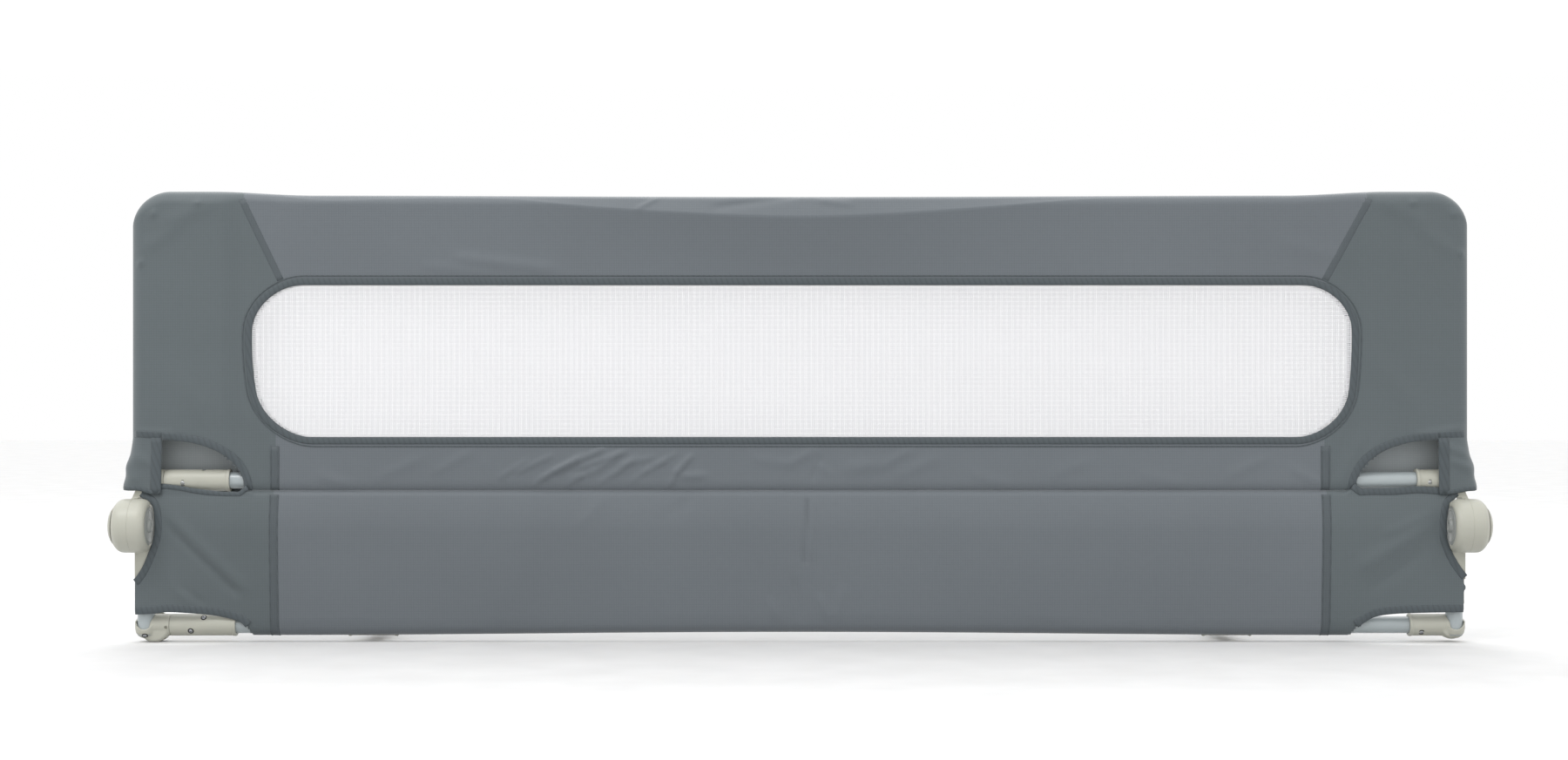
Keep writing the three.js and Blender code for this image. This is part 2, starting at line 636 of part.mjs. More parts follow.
// inset is how far inside the cover's outer face the surface lies.
function coverLoft(inset) {
  const rows = coverStations.map((station) => {
    const x = (station * (coverHalf - inset)) / coverHalf;
    const past = Math.max(0, Math.abs(x) - (coverHalf - coverCorner));
    const radius = coverCorner - inset;
    const crest = coverCrest(x) - inset - (radius - Math.sqrt(Math.max(0, radius ** 2 - past ** 2)));
    const toEdge = coverHalf - inset - Math.abs(x);
    const full = coverDepth(x) - inset;
    const rounding = THREE.MathUtils.clamp(1 - toEdge / full, 0, 1);
    const depth = Math.max(edgeFlat - inset / 2, full * Math.sqrt(1 - rounding ** 2));
    const top = crest - depth;
    const foot = coverBottom + inset;
    const lift = fold.out * swell(x, fold.half);
    const cap = capShares.map((share) => {
      const angle = share * Math.PI / 2;
      return [(depth + lift) * Math.sin(angle), top + depth * Math.cos(angle)];
    });
    const right = [
      [0, foot], [depth * bandShare, foot + bandRise], [depth, foot + 3 * bandRise],
      [depth, top - fold.drop], ...cap,
    ];
    const left = right.slice(1, -1).reverse().map(([y, z]) => [-y, z]);
    return [...right, ...left].map(([y, z]) => [x, y, z]);
  });
  return skin(rows, [1, 2]);
}

function windowShape(inset) {
  const x = postX - window.side - inset;
  const rise = topZ - crossZ;
  const low = crossZ + window.riseShare * rise + inset;
  const high = topZ - window.dropShare * rise - inset;
  const r = window.cornerShare * rise - inset;
  const shape = new THREE.Shape();
  shape.moveTo(-x, low + r);
  shape.absarc(-x + r, low + r, r, Math.PI, 1.5 * Math.PI, false);
  shape.absarc(x - r, low + r, r, 1.5 * Math.PI, 2 * Math.PI, false);
  shape.absarc(x - r, high - r, r, 0, Math.PI / 2, false);
  shape.absarc(-x + r, high - r, r, Math.PI / 2, Math.PI, false);
  return shape;
}

function notchShape() {
  const shape = new THREE.Shape();
  const low = coverBottom - overrun;
  shape.moveTo(notchEdge, low);
  shape.lineTo(notchEdge, coverBottom + notch.height);
  shape.absellipse(notchEdge, coverBottom, notch.halfX, notch.height, Math.PI / 2, Math.PI, false, 0);
  shape.lineTo(notchEdge - notch.halfX, low);
  return shape;
}

// Loose mouth of each lower corner, where the hinge's neck comes out.
function strapMouthBody(inset) {
  const ringAt = (inner, outer, depth, z) => Array.from({ length: drumSides / 2 }, (_, k) => {
    const angle = (4 * Math.PI * k) / drumSides;
    const [cx, rx] = [(inner + outer) / 2, (outer - inner) / 2 - inset];
    return [cx + rx * Math.cos(angle), (depth - inset) * Math.sin(angle), z];
  });
  const low = coverBottom - (inset > 0 ? overrun : 0);
  const [inner, outer] = [postX - strap.inside, postX + strap.outside];
  return skin([
    ringAt(inner, outer, strap.depth, low),
    ringAt(inner, outer, strap.depth, coverBottom + 2 * bandRise),
    ringAt(postX - strapMouth.inside, coverHalf, strapMouth.depth + inset, crossZ + strap.rise),
  ], [0, 1]);
}

const mirrored = (body) => body.mirror([1, 0, 0]);

function coverBody() {
  const mouth = strapMouthBody(0);
  const throat = strapMouthBody(clothWall);
  const notchTool = alongY(notchShape(), -2 * fullDepth, 0);
  const windowTool = alongY(windowShape(0), -2 * fullDepth, 2 * fullDepth);
  const outside = join(coverLoft(0), mouth, mirrored(mouth));
  return cut(
    outside, coverLoft(clothWall), throat, mirrored(throat), notchTool, mirrored(notchTool), windowTool);
}

function netBody(facing) {
  const middle = facing * (slimDepth - clothWall / 2);
  return alongY(windowShape(touch), middle - window.mesh / 2, middle + window.mesh / 2);
}

// Skirt: one sheet down the front, round the bar and up behind it to the seam.

function skirtSection(x) {
  const bar = barZ + barBow * bowShape(x);
  const r = tubeRadius + clothRoom;
  const turn = (radius, from, to) => Array.from({ length: wrapSteps + 1 }, (_, k) => {
    const angle = THREE.MathUtils.lerp(from, to, k / wrapSteps);
    return [radius * Math.cos(angle), bar + radius * Math.sin(angle)];
  });
  const { frontY, topY } = skirt;
  const kneeZ = hingeZ - skirt.kneeDrop;
  const outer = [
    [topY, skirtTop], [frontY, kneeZ], [frontY, bar + 2 * r], ...turn(r + clothWall, Math.PI, 2 * Math.PI),
  ];
  const inner = [...turn(r, 2 * Math.PI, Math.PI), [frontY + clothWall, bar + 2 * r],
    [frontY + clothWall, kneeZ], [topY + clothWall, skirtTop]];
  return [...outer, [r + clothWall, sewnZ], [r, sewnZ], ...inner].map(([y, z]) => [x, y, z]);
}

function skirtBody() {
  const b = skirtBite;
  const [deep, top, far] = [postX - b.deep, postX - b.top, postX + b.deep];
  const foot = hingeZ - b.footDrop;
  const bite = new THREE.Shape();
  bite.moveTo(far, skirtTop + overrun);
  bite.lineTo(top, skirtTop + overrun);
  bite.lineTo(top, skirtTop);
  bite.quadraticCurveTo(deep, skirtTop - touch, deep, hingeZ + b.rise);
  bite.lineTo(deep, hingeZ - b.drop);
  bite.quadraticCurveTo(deep + skirtHem.room, foot + legSocket.radius, postX + b.reach, foot);
  bite.lineTo(far, foot);
  const h = skirtHem;
  const inner = notchEdge - notch.halfX;
  const sleeveZ = barZ + h.sleeveRise;
  const hem = new THREE.Shape();
  hem.moveTo(far, -overrun);
  hem.lineTo(far, barZ + h.rise);
  hem.lineTo(notchEdge, barZ + h.rise);
  hem.lineTo(inner + h.step, sleeveZ);
  hem.quadraticCurveTo(inner, sleeveZ, inner, -overrun);
  const behind = block(
    [inner, legY - legSocket.radius - touch, -overrun], [2 * postX, 2 * socketRadius, 2 * sewnZ]);
  const bites = alongY(bite, -2 * drum.radius, 2 * drum.radius);
  const hems = alongY(hem, -2 * drum.radius, 2 * drum.radius);
  const teeRoom = block(
    [armX - skirtTee.half, -touch, -overrun], [armX + skirtTee.half, 2 * drum.radius, sewnZ + overrun]);
  const tools = [bites, hems, behind, teeRoom];
  const half = Array.from({ length: skirtStations + 1 }, (_, k) => (skirtHalf * k) / skirtStations);
  const stations = [...half.slice(1).reverse().map((x) => -x), ...half];
  return cut(skin(stations.map(skirtSection), [1, 2]), ...tools, ...tools.map(mirrored));
}

// Assembly

function piece(parent, name, body, look, at = [0, 0, 0]) {
  const mesh = new THREE.Mesh(toGeometry(body), new THREE.MeshStandardMaterial(colours[look]));
  mesh.name = name;
  mesh.position.set(...at);
  parent.add(mesh);
}

// Adds the same piece at both ends of the rail; the left one is its mirror image.
function pair(parent, name, makeBody, look, [x, y, z]) {
  piece(parent, `right_${name}`, makeBody(false), look, [x, y, z]);
  piece(parent, `left_${name}`, mirrored(makeBody(true)), look, [-x, y, z]);
}

const same = (makeBody) => () => makeBody();

function baseFrame() {
  const base = new THREE.Group();
  const coupledEnd = -(postX - coupledBarCollar - spigotLength - touch);
  const plainEnd = postX - plainBarSocket + plugLength - collarLength - touch;
  piece(base, 'bottom_bar', bowedTube(coupledEnd, plainEnd, barBow), 'tubeWhite', [0, 0, barZ]);
  const sleeveAt = [coupledBarCollar + touch - postX, 0, barZ];
  piece(base, 'left_bar_sleeve', mirrored(couplingSleeve()), 'moulded', sleeveAt);
  const legTop = hingeZ - drum.radius - overrun - touch;
  pair(base, 'leg', same(() => straightTube('z', legEnd, legTop)), 'tubeWhite', [postX, legY, 0]);
  pair(base, 'knuckle', cornerKnuckle, 'moulded', [postX, 0, 0]);
  pair(base, 'arm_tee', same(armTee), 'moulded', [armX, 0, armZ]);
  const armStart = tee.reach - plugLength + touch;
  pair(base, 'arm', same(() => straightTube('y', armStart, armEnd)), 'tubeWhite', [armX, 0, armZ]);
  pair(base, 'arm_foot', same(armFoot), 'rubber', [armX, 0, armZ]);
  piece(base, 'skirt', skirtBody(), 'cover');
  return base;
}

function hinges() {
  const axis = new THREE.Group();
  axis.position.set(0, hingeY, hingeZ);
  const at = [postX, 0, 0];
  pair(axis, 'hub_inner', same(innerHalf), 'moulded', at);
  pair(axis, 'hub_outer', outerHalf, 'moulded', at);
  pair(axis, 'hub_disc', same(faceDisc), 'disc', at);
  pair(axis, 'axle_bolt', same(axleBolt), 'steel', at);
  pair(axis, 'axle_nut', same(axleNut), 'steel', at);
  pair(axis, 'lock_gear', same(lockGear), 'steel', at);
  pair(axis, 'lock_spring', same(lockSpring), 'steel', at);
  pair(axis, 'release_button', same(releaseButton), 'moulded', at);
  return axis;
}

function guardFrame() {
  const guard = new THREE.Group();
  const topHalf = postX - elbow.reach + plugLength - touch;
  piece(guard, 'top_tube', bowedTube(-topHalf, topHalf, -topBow), 'tubeWhite', [0, 0, topZ]);
  pair(guard, 'elbow', same(elbowBody), 'moulded', [postX, 0, topZ]);
  const sideFoot = crossZ + tubeRadius + overrun + touch;
  const sideTop = topZ - elbow.reach + plugLength - touch;
  pair(guard, 'side_tube', same(() => straightTube('z', sideFoot, sideTop)), 'tubeWhite', [postX, 0, 0]);
  const crossLeft = -(postX - coupledCrossCollar - spigotLength - touch);
  const crossRight = postX - plainCrossSocket + plugLength - collarLength - touch;
  piece(guard, 'crossbar', straightTube('x', crossLeft, crossRight), 'tubeWhite', [0, 0, crossZ]);
  const sleeveAt = [coupledCrossCollar + touch - postX, 0, crossZ];
  piece(guard, 'left_cross_sleeve', mirrored(couplingSleeve()), 'moulded', sleeveAt);
  piece(guard, 'cover', coverBody(), 'cover');
  piece(guard, 'window_net_front', netBody(-1), 'net');
  piece(guard, 'window_net_back', netBody(1), 'net');
  return guard;
}

const frontReach = drum.radius - hingeY;
const backReach = armEnd - foot.cover + foot.length;
const rail = new THREE.Group();
rail.position.y = (frontReach - backReach) / 2;
rail.add(baseFrame(), hinges(), guardFrame());

export default rail;
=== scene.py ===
# The look of a folding bed guard rail: grey woven cover with mesh windows over a white tube frame.
# Lengths below are in millimetres, measured from the tubes' plane, and placed in the frame by place().

import json
import math

import bmesh
import bpy
import numpy as np
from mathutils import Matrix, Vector


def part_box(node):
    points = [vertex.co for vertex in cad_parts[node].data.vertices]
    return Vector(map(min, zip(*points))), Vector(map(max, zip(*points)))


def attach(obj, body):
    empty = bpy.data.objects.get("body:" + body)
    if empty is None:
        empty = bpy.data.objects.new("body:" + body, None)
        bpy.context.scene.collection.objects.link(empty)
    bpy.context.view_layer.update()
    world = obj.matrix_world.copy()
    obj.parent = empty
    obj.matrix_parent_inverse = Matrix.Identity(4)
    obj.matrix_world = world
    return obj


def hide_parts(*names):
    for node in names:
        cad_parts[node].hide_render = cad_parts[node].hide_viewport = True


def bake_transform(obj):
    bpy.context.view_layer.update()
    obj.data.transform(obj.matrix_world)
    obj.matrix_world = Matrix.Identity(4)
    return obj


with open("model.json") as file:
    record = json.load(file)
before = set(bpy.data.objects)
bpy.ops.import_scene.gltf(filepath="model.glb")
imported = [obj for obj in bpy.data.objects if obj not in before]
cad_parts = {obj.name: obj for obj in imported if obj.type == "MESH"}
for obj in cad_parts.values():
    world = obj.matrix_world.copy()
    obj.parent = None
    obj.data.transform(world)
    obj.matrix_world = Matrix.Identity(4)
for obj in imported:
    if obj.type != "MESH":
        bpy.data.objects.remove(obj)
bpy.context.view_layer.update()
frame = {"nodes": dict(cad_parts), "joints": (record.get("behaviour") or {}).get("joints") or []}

# Frame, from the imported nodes
MM = 0.001


def node_box(name):
    return [[value / MM for value in corner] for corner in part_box(name)]


TUBE_LOW, TUBE_HIGH = node_box("top_tube")
PLANE_Y = (TUBE_LOW[1] + TUBE_HIGH[1]) / 2
TUBE_R = (TUBE_HIGH[1] - TUBE_LOW[1]) / 2
LEG_LOW, LEG_HIGH = node_box("right_leg")
POST_X = (LEG_LOW[0] + LEG_HIGH[0]) / 2
LEG_Y = (LEG_LOW[1] + LEG_HIGH[1]) / 2 - PLANE_Y
HINGE = next(joint["pos_m"] for joint in frame["joints"] if joint["name"] == "fold")
HINGE_Y, HINGE_Z = HINGE[1] / MM - PLANE_Y, HINGE[2] / MM
CROSS_LOW, CROSS_HIGH = node_box("crossbar")
CROSS_Z = (CROSS_LOW[2] + CROSS_HIGH[2]) / 2
COVER_LOW, COVER_HIGH = node_box("cover")
SKIRT_LOW, SKIRT_HIGH = node_box("skirt")
BAR_LOW, BAR_HIGH = node_box("bottom_bar")
ARM_LOW, ARM_HIGH = node_box("right_arm")
ARM_X, ARM_Z = (ARM_LOW[0] + ARM_HIGH[0]) / 2, (ARM_LOW[2] + ARM_HIGH[2]) / 2
BAR_Z = BAR_LOW[2] + TUBE_R
TOP_Z = TUBE_HIGH[2] - TUBE_R


def place(x, y, z):
    return Vector((x * MM, (y + PLANE_Y) * MM, z * MM))


# Camera at the photograph's angle
CAMERA_DISTANCE = 2700
CAMERA_X = -18
CAMERA_Z = 294
SENSOR = 36
LENS = 55.08

camera_data = bpy.data.cameras.new("camera")
camera_data.sensor_width = SENSOR
camera_data.lens = LENS
camera_data.clip_end = 60
camera = bpy.data.objects.new("camera", camera_data)
camera.location = place(CAMERA_X, -CAMERA_DISTANCE, CAMERA_Z)
camera.rotation_euler = (math.pi / 2, 0, 0)
bpy.context.scene.collection.objects.link(camera)
bpy.context.scene.camera = camera

# Light: a white surround, a large soft box above the front, and a gentle fill
SURROUND = (1.0, 1.95)  # at the horizon and overhead
HORIZON = 0.12  # rise of a line of sight above which the surround grows brighter
WHITE = (1, 1, 1, 1)
LIGHTS = [
    # name, place, aim, width and height in millimetres, watts
    ("key_light", (-1500, -1500, 2700), (0, 0, 250), (900, 700), 26),
    ("fill_light", (1900, -2200, 900), (200, 0, 200), (1600, 1600), 2),
    ("rim_light", (0, 1500, 2300), (0, 0, 300), (2600, 700), 20),
]


def add_light(name, at, aim, size, watts):
    data = bpy.data.lights.new(name, "AREA")
    data.shape = "RECTANGLE"
    data.size, data.size_y = size[0] * MM, size[1] * MM
    data.energy = watts
    light = bpy.data.objects.new(name, data)
    light.location = place(*at)
    light.rotation_euler = (place(*aim) - place(*at)).to_track_quat("-Z", "Y").to_euler()
    bpy.context.scene.collection.objects.link(light)


for light_row in LIGHTS:
    add_light(*light_row)

world = bpy.data.worlds.new("surround")
world.use_nodes = True
sky = world.node_tree
view, parts, rise = (sky.nodes.new(f"ShaderNode{kind}") for kind in ("TexCoord", "SeparateXYZ", "MapRange"))
rise.inputs["From Min"].default_value = HORIZON
rise.inputs["To Min"].default_value, rise.inputs["To Max"].default_value = SURROUND
background = sky.nodes["Background"]
background.inputs["Color"].default_value = WHITE
sky.links.new(view.outputs["Generated"], parts.inputs["Vector"])
sky.links.new(parts.outputs["Z"], rise.inputs["Value"])
sky.links.new(rise.outputs["Result"], background.inputs["Strength"])
bpy.context.scene.world = world
bpy.context.scene.view_settings.view_transform = "Standard"


# Materials

def linear(red, green, blue):
    """Turns a colour on the 0 to 255 display scale into the linear values that a shader takes."""
    def one(value):
        share = value / 255
        return share / 12.92 if share <= 0.04045 else ((share + 0.055) / 1.055) ** 2.4
    return (one(red), one(green), one(blue), 1)


class Shader:
    """A node tree that ends in one Principled shader."""

    def __init__(self, name):
        self.material = bpy.data.materials.new(name)
        self.material.use_nodes = True
        self.tree = self.material.node_tree
        self.out = self.tree.nodes["Principled BSDF"]

    def feed(self, socket, value):
        """Sets a socket to a value, or links it to another socket."""
        if isinstance(value, bpy.types.NodeSocket):
            self.tree.links.new(value, socket)
        else:
            socket.default_value = value

    def node(self, kind, output, inputs, **values):
        """Adds a node, feeds its inputs and gives one of its outputs."""
        made = self.tree.nodes.new(f"ShaderNode{kind}")
        for key, value in values.items():
            setattr(made, key, value)
        for key, value in inputs.items():
            self.feed(made.inputs[key], value)
        return made.outputs[output]

    def where(self, scale=(1, 1, 1), turn=(0, 0, 0)):
        """Place on the piece in its own frame, scaled and turned."""
        spot = self.node("TexCoord", "Object", {})
        return self.node("Mapping", "Vector", {"Scale": scale, "Rotation": turn, "Vector": spot})

    def noise(self, scale, detail, vector=None):
        return self.node("TexNoise", "Fac", {"Scale": scale, "Detail": detail, "Vector": vector or self.where()})

    def wave(self, scale, direction, vector=None):
        return self.node("TexWave", "Fac", {"Scale": scale, "Vector": vector or self.where()},
                         wave_type="BANDS", bands_direction=direction)

    def math(self, operation, first, second):
        return self.node("Math", "Value", {0: first, 1: second}, operation=operation)

    def spread(self, fac, low, high):
        """Maps 0 to 1 onto low to high."""
        return self.node("MapRange", "Result", {"To Min": low, "To Max": high, "Value": fac})

    def ramp(self, fac, *stops):
        made = self.node("ValToRGB", "Color", {"Fac": fac})
        for element, (position, colour) in zip(made.node.color_ramp.elements, stops):
            element.position = position
            element.color = colour
        return made

    def mix(self, fac, first, second, blend="MIX"):
        return self.node("Mix", 2, {0: fac, 6: first, 7: second}, data_type="RGBA", blend_type=blend)

    def bump(self, height, distance, strength, under=None):
        inputs = {"Strength": strength, "Distance": distance, "Height": height}
        if under:
            inputs["Normal"] = under
        return self.node("Bump", "Normal", inputs)

    def set(self, **values):
        for key, value in values.items():
            name = key.replace("_", " ").title().replace("Ior", "IOR")
            self.feed(self.out.inputs[name], value)


def toned(colour, share):
    """A lighter or darker tone of a colour."""
    return tuple(value * share for value in colour[:3]) + (1,)


PITCH = 20  # bands of the wave texture to one unit of its scale
THREAD = 0.00042  # pitch of the cover's weave, in metres
RIB = 0.0009  # pitch of the binding tape's ribs


def woven(name, colour, shade_by, roughness, sheen):
    """Close plain weave: crossed threads, slubs and slow changes of tone."""
    s = Shader(name)
    per_metre = 1 / (THREAD * PITCH)
    check = s.math("MULTIPLY", s.wave(per_metre, "X"), s.wave(per_metre, "Z"))
    slub = s.noise(900, 2, s.where(scale=(1, 1, 0.08)))
    slub_weft = s.noise(900, 2, s.where(scale=(0.08, 1, 1)))
    threads = s.math("ADD", check, s.math("MULTIPLY", s.math("ADD", slub, slub_weft), 0.5))
    slow = s.ramp(s.noise(2.2, 3), (0.3, toned(colour, 1 - shade_by)), (0.7, toned(colour, 1 + shade_by)))
    fine = s.ramp(threads, (0.2, toned(WHITE, 0.86)), (1, WHITE))
    s.set(base_color=s.mix(1.0, slow, fine, "MULTIPLY"),
          roughness=s.spread(s.noise(60, 4), roughness - 0.06, roughness + 0.06),
          normal=s.bump(threads, 0.00006, 0.5, s.bump(s.noise(38, 4), 0.0006, 0.35)),
          sheen_weight=sheen, sheen_roughness=0.45, specular_ior_level=0.38)
    return s.material


def taped(name, colour):
    """Ribbed binding tape with a fine grain."""
    s = Shader(name)
    grain = s.noise(1400, 3)
    height = s.math("ADD", s.wave(1 / (RIB * PITCH), "X", s.where(turn=(0, 0.35, 0))), grain)
    s.set(base_color=s.ramp(height, (0.4, toned(colour, 0.8)), (1, colour)),
          roughness=s.spread(grain, 0.62, 0.8), normal=s.bump(height, 0.00012, 0.6), sheen_weight=0.15)
    return s.material


def moulded(name, colour, roughness=0.42):
    """Warm off-white moulding: fine spark grain, faint flow marks and soft shine."""
    s = Shader(name)
    flow = s.noise(14, 3, s.where(scale=(1, 1, 0.4)))
    s.set(base_color=s.ramp(flow, (0.3, toned(colour, 0.93)), (0.75, colour)),
          roughness=s.spread(s.noise(120, 4), roughness - 0.05, roughness + 0.08),
          normal=s.bump(s.noise(2600, 2), 0.00005, 0.35),
          subsurface_weight=0.06, subsurface_radius=(0.004, 0.003, 0.002))
    return s.material


def coated(name, colour):
    """Powder-coated tube: very fine orange peel under a satin skin."""
    s = Shader(name)
    s.set(base_color=s.mix(s.noise(9, 3), colour, toned(colour, 0.95)),
          roughness=s.spread(s.noise(80, 3), 0.26, 0.38), normal=s.bump(s.noise(700, 2), 0.00006, 0.3),
          coat_weight=0.25, coat_roughness=0.2)
    return s.material


def plated(name, colour):
    """Zinc plate with fine turning marks."""
    s = Shader(name)
    marks = s.noise(500, 4, s.where(scale=(0.05, 1, 1)))
    s.set(metallic=1.0, base_color=s.mix(marks, colour, toned(colour, 0.75)),
          roughness=s.spread(marks, 0.22, 0.42), normal=s.bump(marks, 0.00004, 0.4))
    return s.material


def rubbery(name, colour):
    """Matt rubber with a fine grain. Also gives the near-black painted shade in the hub disc's bore and round the
    screw heads.
    """
    s = Shader(name)
    grain = s.noise(1500, 3)
    s.set(base_color=s.mix(s.noise(40, 3), colour, toned(colour, 1.6)),
          roughness=s.spread(grain, 0.65, 0.85), normal=s.bump(grain, 0.0001, 0.5))
    return s.material


def netting(name, along, up):
    """Fine knitted mesh: rows of small staggered holes between light threads."""
    s = Shader(name)
    holes = s.node("TexVoronoi", "Distance", {
        "Scale": 560, "Randomness": 0.12, "Vector": s.where(scale=(along, 0, up))}, feature="F1")
    gap = s.ramp(holes, (0.26, (0, 0, 0, 1)), (0.4, WHITE))
    cloudy = s.spread(s.noise(60, 3), 0.94, 1.0)
    s.set(base_color=s.mix(s.noise(1800, 2), linear(215, 215, 217), linear(226, 226, 228)),
          alpha=s.math("MULTIPLY", gap, cloudy), roughness=0.85, sheen_weight=0.1)
    return s.material


CLOTH = woven("cover_cloth", linear(94, 100, 105), 0.05, 0.56, 0.28)
CLOTH_SIDE = woven("side_cloth", linear(82, 90, 93), 0.05, 0.58, 0.25)
TAPE = taped("binding_tape", linear(66, 74, 78))
# Painted light: the inside of the cover gets a lighter cloth, standing in for daylight through the thin cloth where
# it shows through the corner openings.
BACKLIT_CLOTH = woven("painted_backlight_cloth", linear(150, 156, 158), 0.04, 0.6, 0.1)
# Seam cloth: real seams, whose darker tone also paints the shade that gathers along their folds.
SHADED_SEAM_CLOTH = woven("seam_cloth_painted_shade", linear(74, 81, 85), 0.04, 0.62, 0.2)
PLASTIC = moulded("warm_moulding", linear(168, 168, 157))
GREY_PLASTIC = moulded("grey_moulding", linear(138, 141, 138), 0.5)
PAINT = coated("white_coat", linear(154, 162, 164))
STEEL = plated("zinc_plate", linear(176, 178, 182))
RUBBER = rubbery("black_rubber", linear(58, 60, 62))
NETS = {-1: netting("front_net", 1, 0.8), 1: netting("back_net", 0.71, 1.13)}
# Painted shade: a near-black matt finish put where shade falls, in the hub disc's bore and in thin rings round the
# screw heads.
PAINTED_SHADE = rubbery("painted_shade_dark", linear(34, 34, 33))


# Meshes

def shade_smooth(mesh):
    mesh.polygons.foreach_set("use_smooth", [True] * len(mesh.polygons))


def add_mesh(name, points, faces, material, smooth=True):
    """A new piece from points in millimetres."""
    mesh = bpy.data.meshes.new(name)
    mesh.from_pydata([place(*point) for point in points], [], faces)
    mesh.update()
    piece = bpy.data.objects.new(name, mesh)
    bpy.context.scene.collection.objects.link(piece)
    piece.data.materials.append(material)
    if smooth:
        shade_smooth(mesh)
    return piece


WELD = 0.02


def tidy(piece):
    """Welds doubled points, drops loose ones and turns all faces outwards."""
    work = bmesh.new()
    work.from_mesh(piece.data)
    bmesh.ops.remove_doubles(work, verts=work.verts, dist=WELD * MM)
    loose = [vert for vert in work.verts if not vert.link_faces]
    bmesh.ops.delete(work, geom=loose, context="VERTS")
    bmesh.ops.recalc_face_normals(work, faces=work.faces)
    work.to_mesh(piece.data)
    work.free()


def apply_modifiers(piece):
    graph = bpy.context.evaluated_depsgraph_get()
    mesh = bpy.data.meshes.new_from_object(piece.evaluated_get(graph))
    piece.modifiers.clear()
    piece.data = mesh


def carve(piece, tool, operation):
    """Joins, cuts or crosses a piece with another solid, which is used up."""
    step = piece.modifiers.new("step", "BOOLEAN")
    step.object, step.operation, step.solver = tool, operation, "EXACT"
    apply_modifiers(piece)
    bpy.data.objects.remove(tool)


def thicken(piece, offset, inner_material=0):
    """Gives a sheet the thickness of its cloth. inner_material is how far on its back's material is."""
    thick = piece.modifiers.new("cloth", "SOLIDIFY")
    thick.thickness, thick.offset, thick.material_offset = CLOTH_THICK * MM, offset, inner_material
    apply_modifiers(piece)


def grid_faces(columns, rows):
    """Quads between the points of a grid, column by column."""
    return [(k * rows + n, k * rows + n + 1, (k + 1) * rows + n + 1, (k + 1) * rows + n)
            for k in range(columns - 1) for n in range(rows - 1)]


def ring_faces(count, size, closed):
    """Quads between rings of points, and from the last ring back to the first where closed."""
    faces = []
    for k in range(count if closed else count - 1):
        for n in range(size):
            m, k2 = (n + 1) % size, (k + 1) % count
            faces.append((k * size + n, k * size + m, k2 * size + m, k2 * size + n))
    return faces


def middles(points, faces):
    """X, Y and Z of the middles of quads."""
    return np.array(points)[np.array(faces)].mean(1).T


# Half of the binding tape's outline: share of its width and of its thickness
TAPE_EDGE = [(-0.5, -0.35), (-0.5, 0.25), (-0.38, 0.8), (-0.12, 1)]
TAPE_SECTION = TAPE_EDGE + [(-across, up) for across, up in reversed(TAPE_EDGE)]


def tape(name, path, normals, width, thickness, material, closed=False, body="guard"):
    """A flat strip with rounded edges that follows a path and lies on the side that the normals point to."""
    count = len(path)
    path = [np.array(point, float) for point in path]
    normals = [np.array(normal, float) for normal in normals]
    points = []
    for k in range(count):
        before = path[k - 1] if closed or k > 0 else path[k]
        after = path[(k + 1) % count] if closed or k + 1 < count else path[k]
        along = after - before
        along /= np.linalg.norm(along)
        normal = normals[k] / np.linalg.norm(normals[k])
        side = np.cross(along, normal)
        side /= np.linalg.norm(side)
        lift = np.cross(side, along)
        points += [path[k] + side * across * width + lift * up * thickness for across, up in TAPE_SECTION]
    size = len(TAPE_SECTION)
    faces = ring_faces(count, size, closed)
    if not closed:
        faces += [tuple(range(size)), tuple((count - 1) * size + n for n in reversed(range(size)))]
    piece = add_mesh(name, points, faces, material)
    tidy(piece)
    if body:
        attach(piece, body)
    return piece


# Cover: the surface that the cloth takes over the guard's frame

CLOTH_THICK = 0.9
SLIM, FULL = TUBE_R + 1.7, 15.5  # half of the cover's depth over the long tubes and over the uprights
SLIM_HALF, FULL_HALF = 622, 650  # where it grows from the one to the other
COVER_HALF = POST_X + FULL
COVER_TOP = COVER_HIGH[2]
SEAM_Z = COVER_LOW[2]
CORNER = 42.8  # radius of the top corners
BOW_HALF = 600  # half of the length over which the long tubes bow
TOP_BOW, BAR_BOW = 1.6, 3.5  # sag of the top tube and rise of the bottom bar, in the middle
ELBOW_REACH = 75  # the top edge starts to rise this far before the cover grows deeper
EDGE_HALF = 1.4  # least half depth, at the side edges
STRAP_TOP, STRAP_FLARE, STRAP_INNER = 231, 9.8, 719  # where the straps start to spread, and how far
STRAP_BLEND = 34  # the spread of the straps starts over this width
STRAP_WAVES, STRAP_WAVE = 16, 0.12
STRAP_FROM, STRAP_OVER = 705, 10  # from here outwards the lower edge isn't tucked in round the crossbar
STRAP_LIFTS = {  # steps up of the straps' lower edge: height, where it starts and how wide it is
    -1: [(4.4, 722, 12), (0.5, 742, 8)],
    1: [(4.0, 722, 20), (3.0, 745, 8)],
}
POCKET = CROSS_Z - SEAM_Z  # from the crossbar's axis down to the seam
SAG, SAG_OVER = 1.6, 80  # hollow of the sheets between the tubes, and its easing at the sides
HELD_OVER = 12  # wrinkles die out over this width at the side edges


def smooth(share):
    """Eases a share in and out between 0 and 1."""
    share = np.clip(share, 0, 1)
    return share * share * (3 - 2 * share)


def bow(x):
    """How far the long tubes sag or rise towards their middle, from 0 to 1."""
    return np.where(np.abs(x) < BOW_HALF, (1 + np.cos(np.pi * x / BOW_HALF)) / 2, 0)


